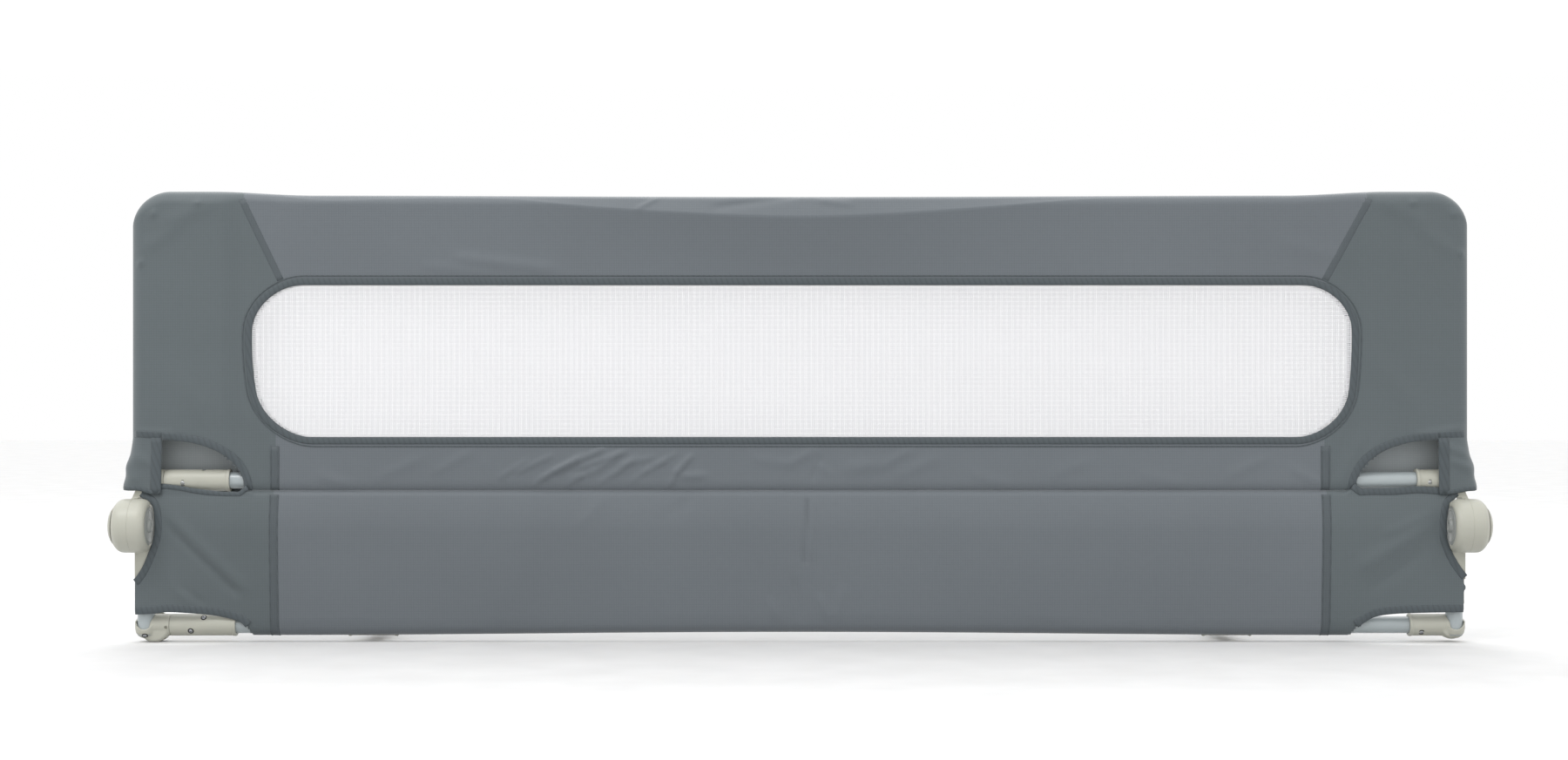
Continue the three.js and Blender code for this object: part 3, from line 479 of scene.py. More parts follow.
def crest(x):
    """Height of the cover's top edge, before its corners."""
    share = smooth((np.abs(x) - (SLIM_HALF - ELBOW_REACH)) / (POST_X - SLIM_HALF))
    on_tube = TOP_Z - TOP_BOW * bow(x) + SLIM
    level = on_tube + (COVER_TOP - on_tube) * share
    past = np.clip(np.abs(x) - (COVER_HALF - CORNER), 0, CORNER)
    return level - (CORNER - np.sqrt(CORNER ** 2 - past ** 2))


def depth(x):
    """Half depth of the cover at its fullest, across the width."""
    full = SLIM + (FULL - SLIM) * smooth((np.abs(x) - SLIM_HALF) / (FULL_HALF - SLIM_HALF))
    to_edge = np.clip(COVER_HALF - np.abs(x), 0, full)
    rounding = 1 - to_edge / full
    return np.maximum(EDGE_HALF, full * np.sqrt(1 - rounding ** 2))


# The loose fold along the top edge: place across the width, and how far below the top its crease lies
TOP_FOLD = [
    (-590, 0), (-560, 5), (-520, 6.9), (-470, 5), (-420, 3.4), (-375, 2.4), (-322, 4), (-253, 10.8), (-185, 15.7),
    (-96, 20.6), (-18, 23.2), (41, 22.6), (90, 20.6), (139, 17.6), (207, 12.7), (276, 7.4), (315, 4), (380, 1.6),
    (440, 0),
]
FOLD_X, FOLD_DROPS = (np.array(values, float) for values in zip(*TOP_FOLD))
FOLD_OUT = 7.5  # how far the crease stands out in front of the tube, at its lowest
FOLD_REACH = 74  # below the crease the sheet comes back to the tube's face over this height


def fold_drop(x):
    """Depth of the fold's crease below the top edge, averaged over the places near by."""
    near = [np.interp(x + shift, FOLD_X, FOLD_DROPS) for shift in (-16, -8, 0, 8, 16)]
    return sum(near) / len(near)


def shoulder(x, facing):
    """Height where the sheet leaves the upright and rolls over the top tube."""
    drop = fold_drop(x) if facing < 0 else 0 * x
    return crest(x) - np.maximum(np.minimum(depth(x), CORNER), drop)


def folded(x, z, y):
    """Pulls the front sheet out to the crease of the fold. y is its distance in front of the tube's axis."""
    drop = fold_drop(x)
    centre = crest(x) - SLIM
    crease = crest(x) - drop
    above = np.clip((crease - centre) / SLIM, -1, 1)
    base = np.where(crease > centre, SLIM * np.sqrt(1 - above ** 2), SLIM)
    out = base + FOLD_OUT * smooth(drop / FOLD_DROPS.max())
    rise = crease - centre
    far = np.maximum(np.hypot(out, rise), SLIM + 0.001)
    tilt = np.arctan2(rise, out) + np.arccos(SLIM / far)
    sloped = out - (z - crease) * np.tan(tilt)
    leaves = centre + SLIM * np.sin(tilt)
    upper = np.where(z < leaves, np.maximum(sloped, y), y)
    back = np.clip(1 - (crease - z) / FOLD_REACH, 0, 1) ** 1.5
    lower = y + (out - base) * back
    active = smooth(drop / 2)
    return y + (np.where(z > crease, upper, lower) - y) * active


# Creases in the front sheet: from x, z to x, z, then half width and height
FRONT_CREASES = [
    (-182, 486, -160, 498, 2.6, 0.9), (-96, 487, -5, 500, 4.5, -1.0), (20, 496, 58, 491, 4, 0.8),
    (-385, 431, -275, 418, 7, 0.9), (-420, 422, -350, 414, 6, 0.5), (540, 448, 610, 430, 10, 0.5),
    (-714, 470, -660, 490, 9, 0.8), (-735, 440, -690, 470, 8, 0.6), (-700, 300, -660, 250, 11, 0.5),
    (700, 470, 655, 492, 9, 0.8), (735, 435, 690, 466, 8, 0.6), (640, 320, 690, 262, 12, 0.5),
    (690, 232, 742, 240, 4, 0.9), (715, 222, 750, 208, 5, 1.2), (725, 205, 752, 190, 5, 1.2),
    (-745, 236, -700, 233, 4, 0.7), (-752, 215, -725, 200, 5, 1.0), (-757, 195, -735, 182, 4, 0.8),
    (648, 232, 625, 180, 7, 0.8), (633, 236, 606, 178, 8, 0.9), (-640, 232, -612, 176, 8, 0.6),
]
# Wrinkles of the loose pocket round the crossbar, drawn up to the right: place, height, length, slope in
# degrees, half width and height
POCKET_WRINKLES = [
    (-338, 184, 38, 32, 2.6, 0.7), (-318, 190, 44, 26, 2.4, 0.9), (-290, 183, 52, 30, 2.6, 1.2),
    (-276, 192, 60, 24, 2.8, 1.3), (-262, 184, 22, 6, 2.2, 0.8), (-246, 196, 54, 20, 2.6, 1.2),
    (-236, 188, 40, 34, 3.0, 1.0), (-204, 198, 40, 14, 3.0, 0.8), (-210, 186, 34, 40, 3.0, 0.9),
    (-176, 190, 30, 30, 3.2, 0.8), (-145, 176, 18, 68, 2.6, 1.4), (-139, 190, 26, 48, 2.8, 1.5),
    (-132, 186, 26, 2, 4.0, 1.1), (-52, 206, 40, -9, 6.0, 0.5), (-14, 199, 34, 28, 5.0, 0.7),
    (20, 200, 20, -40, 4.0, 0.5), (14, 182, 26, 72, 3.0, -0.6), (52, 194, 34, 10, 8.0, 0.9),
    (90, 196, 40, 30, 5.0, 0.6), (-300, 176, 30, 36, 2.2, 0.7), (-262, 176, 36, 32, 2.2, 0.8),
    (-225, 178, 30, 36, 2.2, 0.7), (-190, 180, 26, 34, 2.2, 0.6), (-160, 198, 24, 34, 2.4, 0.7),
    (-410, 190, 46, 30, 5.0, 0.5), (-470, 186, 50, 24, 6.0, 0.5), (-540, 188, 40, -20, 6.0, 0.5),
    (110, 186, 50, 26, 6.0, 0.5), (190, 190, 46, -18, 6.0, 0.4), (280, 186, 50, 22, 7.0, 0.4),
    (380, 190, 50, -16, 7.0, 0.4), (480, 186, 48, 26, 6.0, 0.5), (550, 196, 36, -30, 5.0, 0.6),
]
# Bumps that the fasteners of the elbows push into the cloth
BUMPS = [(-724, 480), (-674, 492.6), (-738.5, 425), (731, 480), (686, 492.6), (741, 436)]
BUMP_HIGH, BUMP_WIDE = 2.2, 4
RELIEF = 1.9  # height of a crease for each unit in its row


def ridges(x, z, rows):
    """Sum of straight ridges, each with soft ends."""
    total = 0 * x
    for x0, z0, x1, z1, half, height in rows:
        run = np.array([x1 - x0, z1 - z0], float)
        length = np.hypot(*run)
        run /= length
        along = (x - x0) * run[0] + (z - z0) * run[1]
        across = (x - x0) * -run[1] + (z - z0) * run[0]
        ends = smooth((along + half * 2) / (half * 4)) * smooth((length + half * 2 - along) / (half * 4))
        total = total + height * ends * np.exp(-(across / half) ** 2)
    return total


def pocket_rows():
    rows = []
    for x, z, length, degrees, half, height in POCKET_WRINKLES:
        run = length * math.cos(math.radians(degrees)), length * math.sin(math.radians(degrees))
        rows.append((x, z, x + run[0], z + run[1], half, height))
    return rows


def front_relief(x, z):
    """How far the wrinkles stand out of the front sheet."""
    total = RELIEF * ridges(x, z, FRONT_CREASES) + RELIEF * ridges(x, z, pocket_rows())
    for bump_x, bump_z in BUMPS:
        total = total + BUMP_HIGH * np.exp(-((x - bump_x) ** 2 + (z - bump_z) ** 2) / BUMP_WIDE ** 2)
    return total + 0.35 * np.sin(x / 61 + z / 37) * np.sin(z / 29 - x / 173)


def back_relief(x, z):
    """Slow waves of the back sheet, which the photograph doesn't show."""
    return 0.5 * np.sin(x / 53 - z / 41) * np.sin(z / 31 + x / 151) + 0.3 * np.sin(x / 19 + z / 67)


def sheet_y(x, z, facing):
    """Y of the cover's front (-1) or back (+1) sheet."""
    x, z = np.asarray(x, float), np.asarray(z, float)
    full = depth(x)
    start = crest(x) - np.minimum(full, CORNER)
    rise = np.maximum(crest(x) - start, 0.01)
    share = np.clip((z - start) / rise, 0, 1)
    profile = np.sqrt(1 - share ** 2)
    below = np.clip((CROSS_Z - z) / (POCKET + 0.4), 0, 1)
    strap = smooth((np.abs(x) - STRAP_FROM) / STRAP_OVER)
    tuck = 1 - (1 - np.sqrt(1 - below ** 2)) * (1 - strap)
    span = np.clip((z - CROSS_Z) / (start - CROSS_Z), 0, 1)
    inner = smooth((SLIM_HALF - np.abs(x)) / SAG_OVER)
    hollow = SAG * np.sin(np.pi * span) * inner
    relief = front_relief(x, z) if facing < 0 else back_relief(x, z)
    held = smooth((COVER_HALF - np.abs(x)) / HELD_OVER) * profile ** 0.5
    rounded = full * profile
    if facing < 0:
        rounded = folded(x, z, rounded)
    out = rounded * tuck - hollow * profile + (relief * held) * tuck
    return facing * np.maximum(out, 0.02)


def strap_low(x):
    """Height of the cover's lower edge, which the straps at the corners lift."""
    x = np.asarray(x)
    out = np.abs(x)
    left, right = (sum(high * smooth((out - start) / over) for high, start, over in STRAP_LIFTS[side])
                   for side in (-1, 1))
    wave = (np.sin(x / 88 + 2.4) + 1) * smooth((620 - out) / 60)
    return SEAM_Z + wave + np.where(x < 0, left, right)


def flared(x, z):
    """The straps at the lower corners spread where the hinge's neck comes out."""
    drop = np.clip((STRAP_TOP - z) / (STRAP_TOP - SEAM_Z), 0, 1)
    near = smooth((np.abs(x) - STRAP_INNER + 6) / STRAP_BLEND)
    ripple = 1 + STRAP_WAVE * np.sin(drop * STRAP_WAVES)
    return x + np.sign(x) * STRAP_FLARE * near * smooth(drop * 1.25) * ripple


def on_surface(points, surface, outward, step, lift, spread=lambda x, z: x):
    """Puts x, z points on a cloth whose Y surface(x, z) gives, and gives them with the cloth's normals."""
    x, z = np.array(points, float).T
    slope_x = (surface(x + step, z) - surface(x - step, z)) / (2 * step)
    slope_z = (surface(x, z + step) - surface(x, z - step)) / (2 * step)
    normals = np.stack([-slope_x, np.ones_like(x), -slope_z], 1) * outward
    normals /= np.linalg.norm(normals, axis=1)[:, None]
    places = np.stack([spread(x, z), surface(x, z), z], 1) + normals * lift
    return places.tolist(), normals.tolist()


# Openings in the cover

WINDOW_HALF, WINDOW_LOW, WINDOW_HIGH, WINDOW_CORNER = 619.6, 229.9, 400.5, 52
WINDOW_STEP, WINDOW_TURNS = 9, 14  # points along its sides and round its corners
BINDING = 8
NOTCH_EDGE, NOTCH_WIDE, NOTCH_HIGH = 714, 92, 61  # outer end, width and height of a corner opening
# How far the cloth pulls the window's ends in: least inset, height where it is least, growth per square mm
WINDOW_BOW = {-1: (5, 338, 0.00144), 1: (1, 344, 0.0009)}


def bowed(x, z):
    """Share of the window's straight width that is left at a height, on the side that x is on."""
    insets = [least + grow * (z - best) ** 2 for least, best, grow in (WINDOW_BOW[-1], WINDOW_BOW[1])]
    return 1 - np.where(np.asarray(x) < 0, *insets) / WINDOW_HALF


def line(start, end, step=6):
    """Points from start to end, about a step apart."""
    count = max(2, int(math.dist(start, end) / step))
    return [tuple(a + (b - a) * k / count for a, b in zip(start, end)) for k in range(count + 1)]


def window_core(grow):
    """Of the window grown outwards: the radius of its corners, and half width, foot and top between them."""
    radius = WINDOW_CORNER + grow
    return radius, WINDOW_HALF + grow - radius, WINDOW_LOW - grow + radius, WINDOW_HIGH + grow - radius


def window_path(grow):
    """Rounded outline of the window, grown outwards, as x, z points."""
    radius, half, foot, top = window_core(grow)
    arcs = []
    for quarter, (cx, cz) in enumerate([(half, top), (-half, top), (-half, foot), (half, foot)]):
        angles = [math.pi / 2 * (quarter + k / WINDOW_TURNS) for k in range(WINDOW_TURNS + 1)]
        arcs.append([(cx + radius * math.cos(a), cz + radius * math.sin(a)) for a in angles])
    points = []
    for arc, after in zip(arcs, arcs[1:] + arcs[:1]):
        points += arc + line(arc[-1], after[0], WINDOW_STEP)[1:-1]
    return [(float(x * bowed(x, z)), z) for x, z in points]


def in_window(x, z, grow):
    """Whether places lie in the window, grown outwards."""
    radius, half, foot, top = window_core(grow)
    dx = np.maximum(np.abs(x / bowed(x, z)) - half, 0)
    dz = np.maximum(np.maximum(foot - z, z - top), 0)
    return np.hypot(dx, dz) < radius


def notch_top(x):
    """Height of the corner opening's upper edge at a place across the width."""
    share = np.clip((NOTCH_EDGE - np.abs(x)) / NOTCH_WIDE, 0, 1)
    return SEAM_Z + NOTCH_HIGH * (1 - share ** 2.3) ** (1 / 1.9)


def in_notch(x, z, grow):
    """Whether places lie in the openings at the lower corners, grown outwards."""
    inside = (np.abs(x) < NOTCH_EDGE + grow) & (np.abs(x) > NOTCH_EDGE - NOTCH_WIDE - grow)
    return inside & (z < notch_top(x) + grow)


COLUMNS_MIDDLE, COLUMNS_NEAR, COLUMNS_EDGE = 236, 14, 12
NEAR_WIDE = 30
ROWS_UP, ROWS_ROLL = 108, 18


def cover_columns():
    """Places across the width: closer together where the side edges round off."""
    edge_from = COVER_HALF - FULL
    middle = np.linspace(0, edge_from - NEAR_WIDE, COLUMNS_MIDDLE)
    near = np.linspace(middle[-1], edge_from, COLUMNS_NEAR)[1:]
    edge = edge_from + FULL * np.sin(np.linspace(0, math.pi / 2, COLUMNS_EDGE))[1:]
    right = np.concatenate([middle, near, edge])
    return np.concatenate([-right[:0:-1], right])


def sheet_rows(x, facing):
    """Heights up one sheet at one place across the width, from the seam to the crest."""
    start = float(shoulder(x, facing))
    low = float(strap_low(x))
    up = low + (start - low) * np.linspace(0, 1, ROWS_UP) ** 0.97
    roll = start + (float(crest(x)) - start) * np.sin(np.linspace(0, math.pi / 2, ROWS_ROLL))[1:]
    return np.concatenate([up, roll])


SIDE_SEAM_X, SIDE_SEAM_WIDE = 589, 9
# Corner seams, left (-1) and right (+1): distance from the middle at the top edge and at the window
CORNER_SEAMS = {-1: (626, 582), 1: (638, 588)}


def side_from(z, side):
    """Where the side panels begin, at a height: along the upright seams, then out to the top corners."""
    share = np.clip((z - WINDOW_HIGH) / (COVER_TOP - WINDOW_HIGH), 0, 1)
    top, foot = CORNER_SEAMS[side]
    return foot + (top - foot) * share if z > WINDOW_HIGH else SIDE_SEAM_X


def make_cover():
    loops = []
    for x in cover_columns():
        front = sheet_rows(x, -1)
        back = sheet_rows(x, 1)[::-1][1:]
        z = np.concatenate([front, back])
        y = np.concatenate([sheet_y(np.full(rows.shape, x), rows, facing)
                            for rows, facing in ((front, -1), (back, 1))])
        y[len(front) - 1] = 0
        loops.append(np.stack([flared(np.full(z.shape, x), z), y, z], 1))
    count, size = len(loops), len(loops[0])
    points = np.array(loops).reshape(-1, 3).tolist()
    faces = grid_faces(count, size)
    x, _, z = middles(points, faces)
    front_rows = ROWS_UP + ROWS_ROLL - 1
    is_front = np.arange(len(faces)) % (size - 1) < front_rows
    keep = ~in_window(x, z, BINDING / 2) & ~(is_front & in_notch(x, z, 3))
    faces = [face for face, kept in zip(faces, keep) if kept]
    for k in (0, count - 1):
        for n in range(front_rows - 1):
            m = size - 1 - n
            if n + 1 < m - 1:
                faces.append((k * size + n, k * size + n + 1, k * size + m - 1, k * size + m))
    piece = add_mesh("cover_cloth", points, faces, CLOTH)
    tidy(piece)
    # The inside faces take the lighter cloth of painted light through the cloth.
    for material in (CLOTH_SIDE, BACKLIT_CLOTH, BACKLIT_CLOTH):
        piece.data.materials.append(material)
    for face in piece.data.polygons:
        x, z = face.center.x / MM, face.center.z / MM
        face.material_index = int(abs(x) > side_from(z, -1 if x < 0 else 1))
    thicken(piece, -1, 2)
    return piece


cover = make_cover()
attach(cover, "guard")
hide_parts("cover")


# Bindings and seams of the cover

ENDS = ((-1, "left"), (1, "right"))
SHEETS = ((-1, "front"), (1, "back"))


def paired(make):
    """Makes a piece at the left end and at the right end."""
    return [make(side, name) for side, name in ENDS]


def sheet_tape(name, points, width, thickness, facing=-1, closed=False, material=TAPE, lift=0.0):
    path, normals = on_surface(points, lambda x, z: sheet_y(x, z, facing), facing, 1.5, lift, flared)
    return tape(name, path, normals, width, thickness, material, closed)


PIPING = 1.6
TRIMS = []
WINDOW_TAPES = (("binding", BINDING / 2, BINDING, 1.1), ("piping", BINDING + 2.4, PIPING, 0.7))
for facing, end in SHEETS:
    for name, grow, width, thickness in WINDOW_TAPES:
        TRIMS.append(sheet_tape(f"window_{name}_{end}", window_path(grow), width, thickness, facing, closed=True))

NOTCH_GROW, NOTCH_STEPS = 4.2, 36
STRAP_TAPE, STRAP_TAPE_LONG = 12, 64
CORNER_TAPE = 7.5


def notch_tape(side, name):
    points = []
    for k in range(NOTCH_STEPS + 1):
        angle = math.pi / 2 * (k / NOTCH_STEPS)
        x = NOTCH_EDGE - (NOTCH_WIDE + NOTCH_GROW) * math.sin(angle) ** 0.95
        z = SEAM_Z - 1 + (NOTCH_HIGH + NOTCH_GROW + 1) * math.cos(angle) ** 0.82
        points.append((side * x, z))
    return sheet_tape(f"{name}_notch_binding", points, 8.6, 1.2)


def strap_tape(side, name):
    x = side * (NOTCH_EDGE + STRAP_TAPE / 2)
    return sheet_tape(f"{name}_strap_binding", line((x, SEAM_Z + 1), (x, SEAM_Z + STRAP_TAPE_LONG)),
                      STRAP_TAPE, 1.1)


def strap_seam(side, name):
    inner = (side * NOTCH_EDGE, SEAM_Z + STRAP_TAPE_LONG + 2)
    outer = (side * (COVER_HALF - 5), SEAM_Z + STRAP_TAPE_LONG + 4)
    return sheet_tape(f"{name}_strap_seam", line(inner, outer, 3), 7.5, 0.7)


def strap_hem(side, name):
    xs = side * np.linspace(NOTCH_EDGE + 2, COVER_HALF - 3, 14)
    points = [(float(x), float(strap_low(x)) + 2.6) for x in xs]
    return sheet_tape(f"{name}_strap_hem", points, 5, 1.0)


def corner_seam(side, name):
    top, foot = CORNER_SEAMS[side]
    start, end = (side * top, COVER_TOP - 9), (side * foot, WINDOW_HIGH + BINDING - 3.5)
    # The corner seam is a wide darker strip: the seam itself plus painted shade along its fold.
    return sheet_tape(f"{name}_corner_seam", line(start, end), CORNER_TAPE, 0.5, material=SHADED_SEAM_CLOTH)


# The upright seam's darker cloth also paints the shade along its fold.
# The upright seam and its stitches: name, offset, width, thickness, material, lift on the cover and on the skirt
UPRIGHT_SEAM = ("seam", 0, SIDE_SEAM_WIDE, 0.45, SHADED_SEAM_CLOTH, 0.0, 0.3)
STITCHES = [(f"stitch_{part}", offset, 1.5, 0.55, TAPE, 0.25, 0.5)
            for part, offset in (("inner", -4.3), ("outer", 4.3))]


def pocket_seam(side, name, row=UPRIGHT_SEAM):
    part, offset, width, thickness, material, lift, _ = row
    x = side * (SIDE_SEAM_X + offset)
    points = line((x, SEAM_Z + 3), (x, WINDOW_LOW - BINDING - 2))
    return sheet_tape(f"{name}_pocket_{part}", points, width, thickness, material=material, lift=lift)


for make in (notch_tape, strap_tape, strap_seam, strap_hem, pocket_seam, corner_seam):
    TRIMS += paired(make)
for row in STITCHES:
    TRIMS += paired(lambda side, name: pocket_seam(side, name, row))


# Nets in the windows
NET_IN = 0.5  # behind the cover's face


def make_net(facing, name):
    half, step = WINDOW_HALF + BINDING / 2, 8
    xs = np.linspace(-half, half, int(2 * half / step) + 1)
    zs = np.linspace(WINDOW_LOW - BINDING / 2, WINDOW_HIGH + BINDING / 2, 24)
    points = [(x, float(sheet_y(x, z, facing)) - facing * NET_IN, z) for x in xs for z in zs]
    faces = grid_faces(len(xs), len(zs))
    x, _, z = middles(points, faces)
    faces = [face for face, kept in zip(faces, in_window(x, z, BINDING * 0.6)) if kept]
    piece = add_mesh(f"net_{name}", points, faces, NETS[facing])
    tidy(piece)
    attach(piece, "guard")
    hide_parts(f"window_net_{name}")
    return piece


nets = [make_net(facing, name) for facing, name in SHEETS]


# Skirt: hangs from the cover's seam, goes round the bottom bar and is sewn up behind it

SKIRT_TOP = SKIRT_HIGH[2]
SKIRT_OUT = PLANE_Y - SKIRT_LOW[1]
SKIRT_TOP_OUT = 12.8  # in front of the tubes' plane, at the seam
TUCK, TUCK_END = 5.5, 622  # the edge sewn in behind the cover
KNEE_Z = 128  # the skirt stands out furthest at this height
STRAIGHT_FROM, STRAIGHT_OVER = 640, 60  # below the knee it falls straight at the ends of the rail
CALM_FROM, CALM_OVER = 720, 40  # wrinkles die out towards this distance from the middle
RELIEF_MOST = 2.4
CLOTH_R = TUBE_R + 1.7
SEWN_Z = 40  # it is sewn up behind the bar at this height
SLEEVE_X = 622  # behind the bar it ends here
TEE_HALF = 32  # half of the gap in the skirt for each arm
# Edges of the openings at the lower corners, left (-1) and right (+1): height and distance from the middle
BITES = {
    -1: [(164, 740), (160.6, 735.7), (158, 730.5), (153.5, 725.5), (143.6, 722.6), (125.6, 722), (113, 724.3),
         (98.6, 729.5), (84.2, 735.7), (73.3, 742.9), (71, 745.5)],
    1: [(164.5, 738), (160, 732.5), (153.5, 727), (143.3, 724.2), (129.7, 723.2), (115.9, 723.8), (102.3, 728.8),
        (98.5, 730.6), (86.3, 737.8), (75.7, 746)],
}
# The skirt's lower edge beyond the bar's sleeves: distance from the middle and height
HEMS = {
    -1: [(614, 4), (617, 10), (621, 17), (627, 22.7), (640, 27), (660, 30.9), (687, 33.6), (708, 34.5), (721, 32.9),
         (748, 31.8)],
    1: [(617, 4), (620, 10), (625, 17), (633, 23), (645, 29), (664, 32.2), (690, 33.6), (720, 34.2), (748, 34.4)],
}
BITE_LOW = 72  # the bites end above this height
TRIMMED = 3  # the cloth runs on this far under the bindings of the openings
SKIRT_CREASES = [  # as FRONT_CREASES
    (9, 160, 7, 126, 1.8, -1.4), (7, 126, 5, 88, 1.8, -1.2), (14, 160, 12, 95, 3, 0.6), (-6, 70, 2, 24, 4, -0.6),
    (-716, 138, -631, 55, 5, -1.3), (-706, 142, -620, 60, 7, 0.9), (-709, 70, -680, 45, 6, 1.0),
    (-700, 66, -668, 44, 5, -0.7), (708, 134, 629, 85, 9, 1.2), (712, 110, 640, 60, 8, -0.7),
    (712, 148, 655, 122, 6, 0.7), (-247, 130, -222, 160, 7, 0.5), (-150, 140, -120, 162, 7, -0.4),
    (22, 52, 34, 18, 4, 0.8), (-32, 46, -22, 16, 4, 0.7), (48, 60, 40, 22, 5, 0.5),
    (-590, 160, -560, 30, 30, 0.5), (590, 160, 560, 30, 30, 0.5), (-300, 150, -330, 30, 26, 0.5),
    (250, 150, 280, 30, 30, 0.5), (430, 130, 410, 20, 22, 0.4),
]
SKIRT_EDGE = {-1: 743.8, 1: 742}
TOP_HEM = {-1: 5.4, 1: 8}  # width of the tape along it
TOP_EDGES = {  # the free edge in the corner openings: distance from the middle and height
    -1: [(612, 165.3), (618, 168.2), (643, 168.4), (683, 173), (710, 177.5), (730, 178.5)],
    1: [(612, 165.3), (618, 171), (640, 172.5), (690, 174.6), (712, 174), (730, 172)],
}


def top_edge(x):
    """Height of the skirt's upper edge."""
    side = -1 if x < 0 else 1
    return float(np.interp(abs(x), *zip(*TOP_EDGES[side])))


def nub(x, z):
    """A pucker on the right edge."""
    return 2.6 * math.exp(-((z - 62) / 3) ** 2) * float(smooth((x - 737) / 5))


def bar_z(x):
    """Height of the bottom bar's axis, which rises a little towards the middle."""
    return BAR_Z + BAR_BOW * bow(x)


def skirt_y(x, z):
    """Y of the skirt's front."""
    x, z = np.asarray(x, float), np.asarray(z, float)
    share = np.clip((z - KNEE_Z) / (SKIRT_TOP - KNEE_Z), 0, 1)
    high = SKIRT_OUT - 0.4 - (SKIRT_OUT - SKIRT_TOP_OUT) * share ** 1.8
    fall = np.clip((KNEE_Z - z) / (KNEE_Z - BAR_Z - CLOTH_R), 0, 1)
    low_middle = SKIRT_OUT - 0.4 - (SKIRT_OUT - CLOTH_R - 1.6) * fall ** 1.3
    low_side = SKIRT_OUT - 0.3
    side = smooth((np.abs(x) - STRAIGHT_FROM) / STRAIGHT_OVER)
    low = low_middle + (low_side - low_middle) * side
    relief = RELIEF * ridges(x, z, SKIRT_CREASES) + 0.5 * np.sin(x / 47) * np.sin(z / 33 + x / 90)
    room = smooth((CALM_FROM - np.abs(x)) / CALM_OVER)
    return -(np.where(z > KNEE_Z, high, low) + np.minimum(relief, RELIEF_MOST) * room)


def skirt_section(x):
    """Points down the front, round the bottom bar and up behind it."""
    bar = float(bar_z(x))
    z = np.linspace(top_edge(x), bar + 8, 56)
    y = skirt_y(np.full(z.shape, x), z)
    tuck_z = SKIRT_TOP + TUCK * float(abs(x) < TUCK_END)
    tuck_y = float(sheet_y(np.array([x]), np.array([tuck_z + 2]), -1)[0]) + 1.9
    sewn = tuck_z > SKIRT_TOP
    front = [(tuck_y, tuck_z) if sewn else (y[0], z[0] + 0.02), (y[0] + 0.5 * sewn, z[0] + 0.01 + 0.7 * sewn)]
    front += list(zip(y, z))
    wrap = [(CLOTH_R * math.cos(angle), bar + CLOTH_R * math.sin(angle))
            for angle in np.linspace(math.pi * 1.02, 2 * math.pi, 12)]
    back = [(CLOTH_R, bar + (SEWN_Z - bar) * k / 4) for k in range(1, 5)]
    return [(x + nub(x, pz), py, pz) for py, pz in front + wrap + back]


def make_skirt():
    left, right = (np.linspace(600, SKIRT_EDGE[side], 70) for side in (-1, 1))
    columns = np.concatenate([-left[::-1], np.linspace(-600, 600, 360)[1:-1], right])
    rows = [skirt_section(float(x)) for x in columns]
    points = [point for row in rows for point in row]
    faces = grid_faces(len(rows), len(rows[0]))
    x, y, z = middles(points, faces)
    out = np.abs(x)
    cut = (y > -1) & (np.abs(out - ARM_X) < TEE_HALF)
    for side in (-1, 1):
        here = x < 0 if side < 0 else x >= 0
        bite_z, bite_x = zip(*reversed(BITES[side]))
        hem_x, hem_z = zip(*HEMS[side])
        under = (z < np.interp(out, hem_x, hem_z) + TRIMMED) | ((y > 0) & (out > SLEEVE_X))
        cut |= here & (out > hem_x[0]) & under
        cut |= here & (z > BITE_LOW) & (out > np.interp(z, bite_z, bite_x) - TRIMMED)
    piece = add_mesh("skirt_cloth", points, [face for face, gone in zip(faces, cut) if not gone], CLOTH)
    tidy(piece)
    piece.data.materials.append(CLOTH_SIDE)
    for face in piece.data.polygons:
        face.material_index = int(abs(face.center.x) / MM > SIDE_SEAM_X)
    thicken(piece, 0)
    return piece


def turning_tape(name, path, normals, width, thickness, material):
    """A tape on the skirt, attached to no body, with its placing baked into its points."""
    strip = tape(name, path, normals, width, thickness, material, body=None)
    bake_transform(strip)
    return strip


def skirt_tape(name, points, width, thickness):
    return turning_tape(name, *on_surface(points, skirt_y, -1, 1, 0.2), width, thickness, TAPE)


CURVE_STEPS = 6


def curve_points(rows):
    """A smooth line through points, by Catmull-Rom."""
    rows = [np.array(row, float) for row in rows]
    ends = [2 * rows[0] - rows[1], *rows, 2 * rows[-1] - rows[-2]]
    points = []
    for a, b, c, d in zip(ends, ends[1:], ends[2:], ends[3:]):
        for k in range(CURVE_STEPS):
            t = k / CURVE_STEPS
            points.append(0.5 * (2 * b + (c - a) * t + (2 * a - 5 * b + 4 * c - d) * t ** 2
                                 + (3 * b - 3 * c + d - a) * t ** 3))
    points.append(rows[-1])
    return [tuple(point) for point in points]


def shifted(points, amount):
    """Moves a line sideways, to the left of the way it runs."""
    result = []
    for k, (x, z) in enumerate(points):
        x0, z0 = points[max(k - 1, 0)]
        x1, z1 = points[min(k + 1, len(points) - 1)]
        length = math.hypot(x1 - x0, z1 - z0)
        result.append((x - (z1 - z0) / length * amount, z + (x1 - x0) / length * amount))
    return result


def bite_tape(side, name):
    edge = curve_points([(x, z) for z, x in BITES[side]])
    points = [(side * x, z) for x, z in shifted(edge, -4)]
    return skirt_tape(f"{name}_bite_binding", points, 8.2, 1.1)


def hem_tape(side, name):
    edge = [(min(x, SKIRT_EDGE[side] - 0.5), z) for x, z in HEMS[side][2:]]
    points = [(side * x, z) for x, z in shifted(curve_points(edge), 4)]
    return skirt_tape(f"{name}_hem_binding", points, 8.6, 1.1)


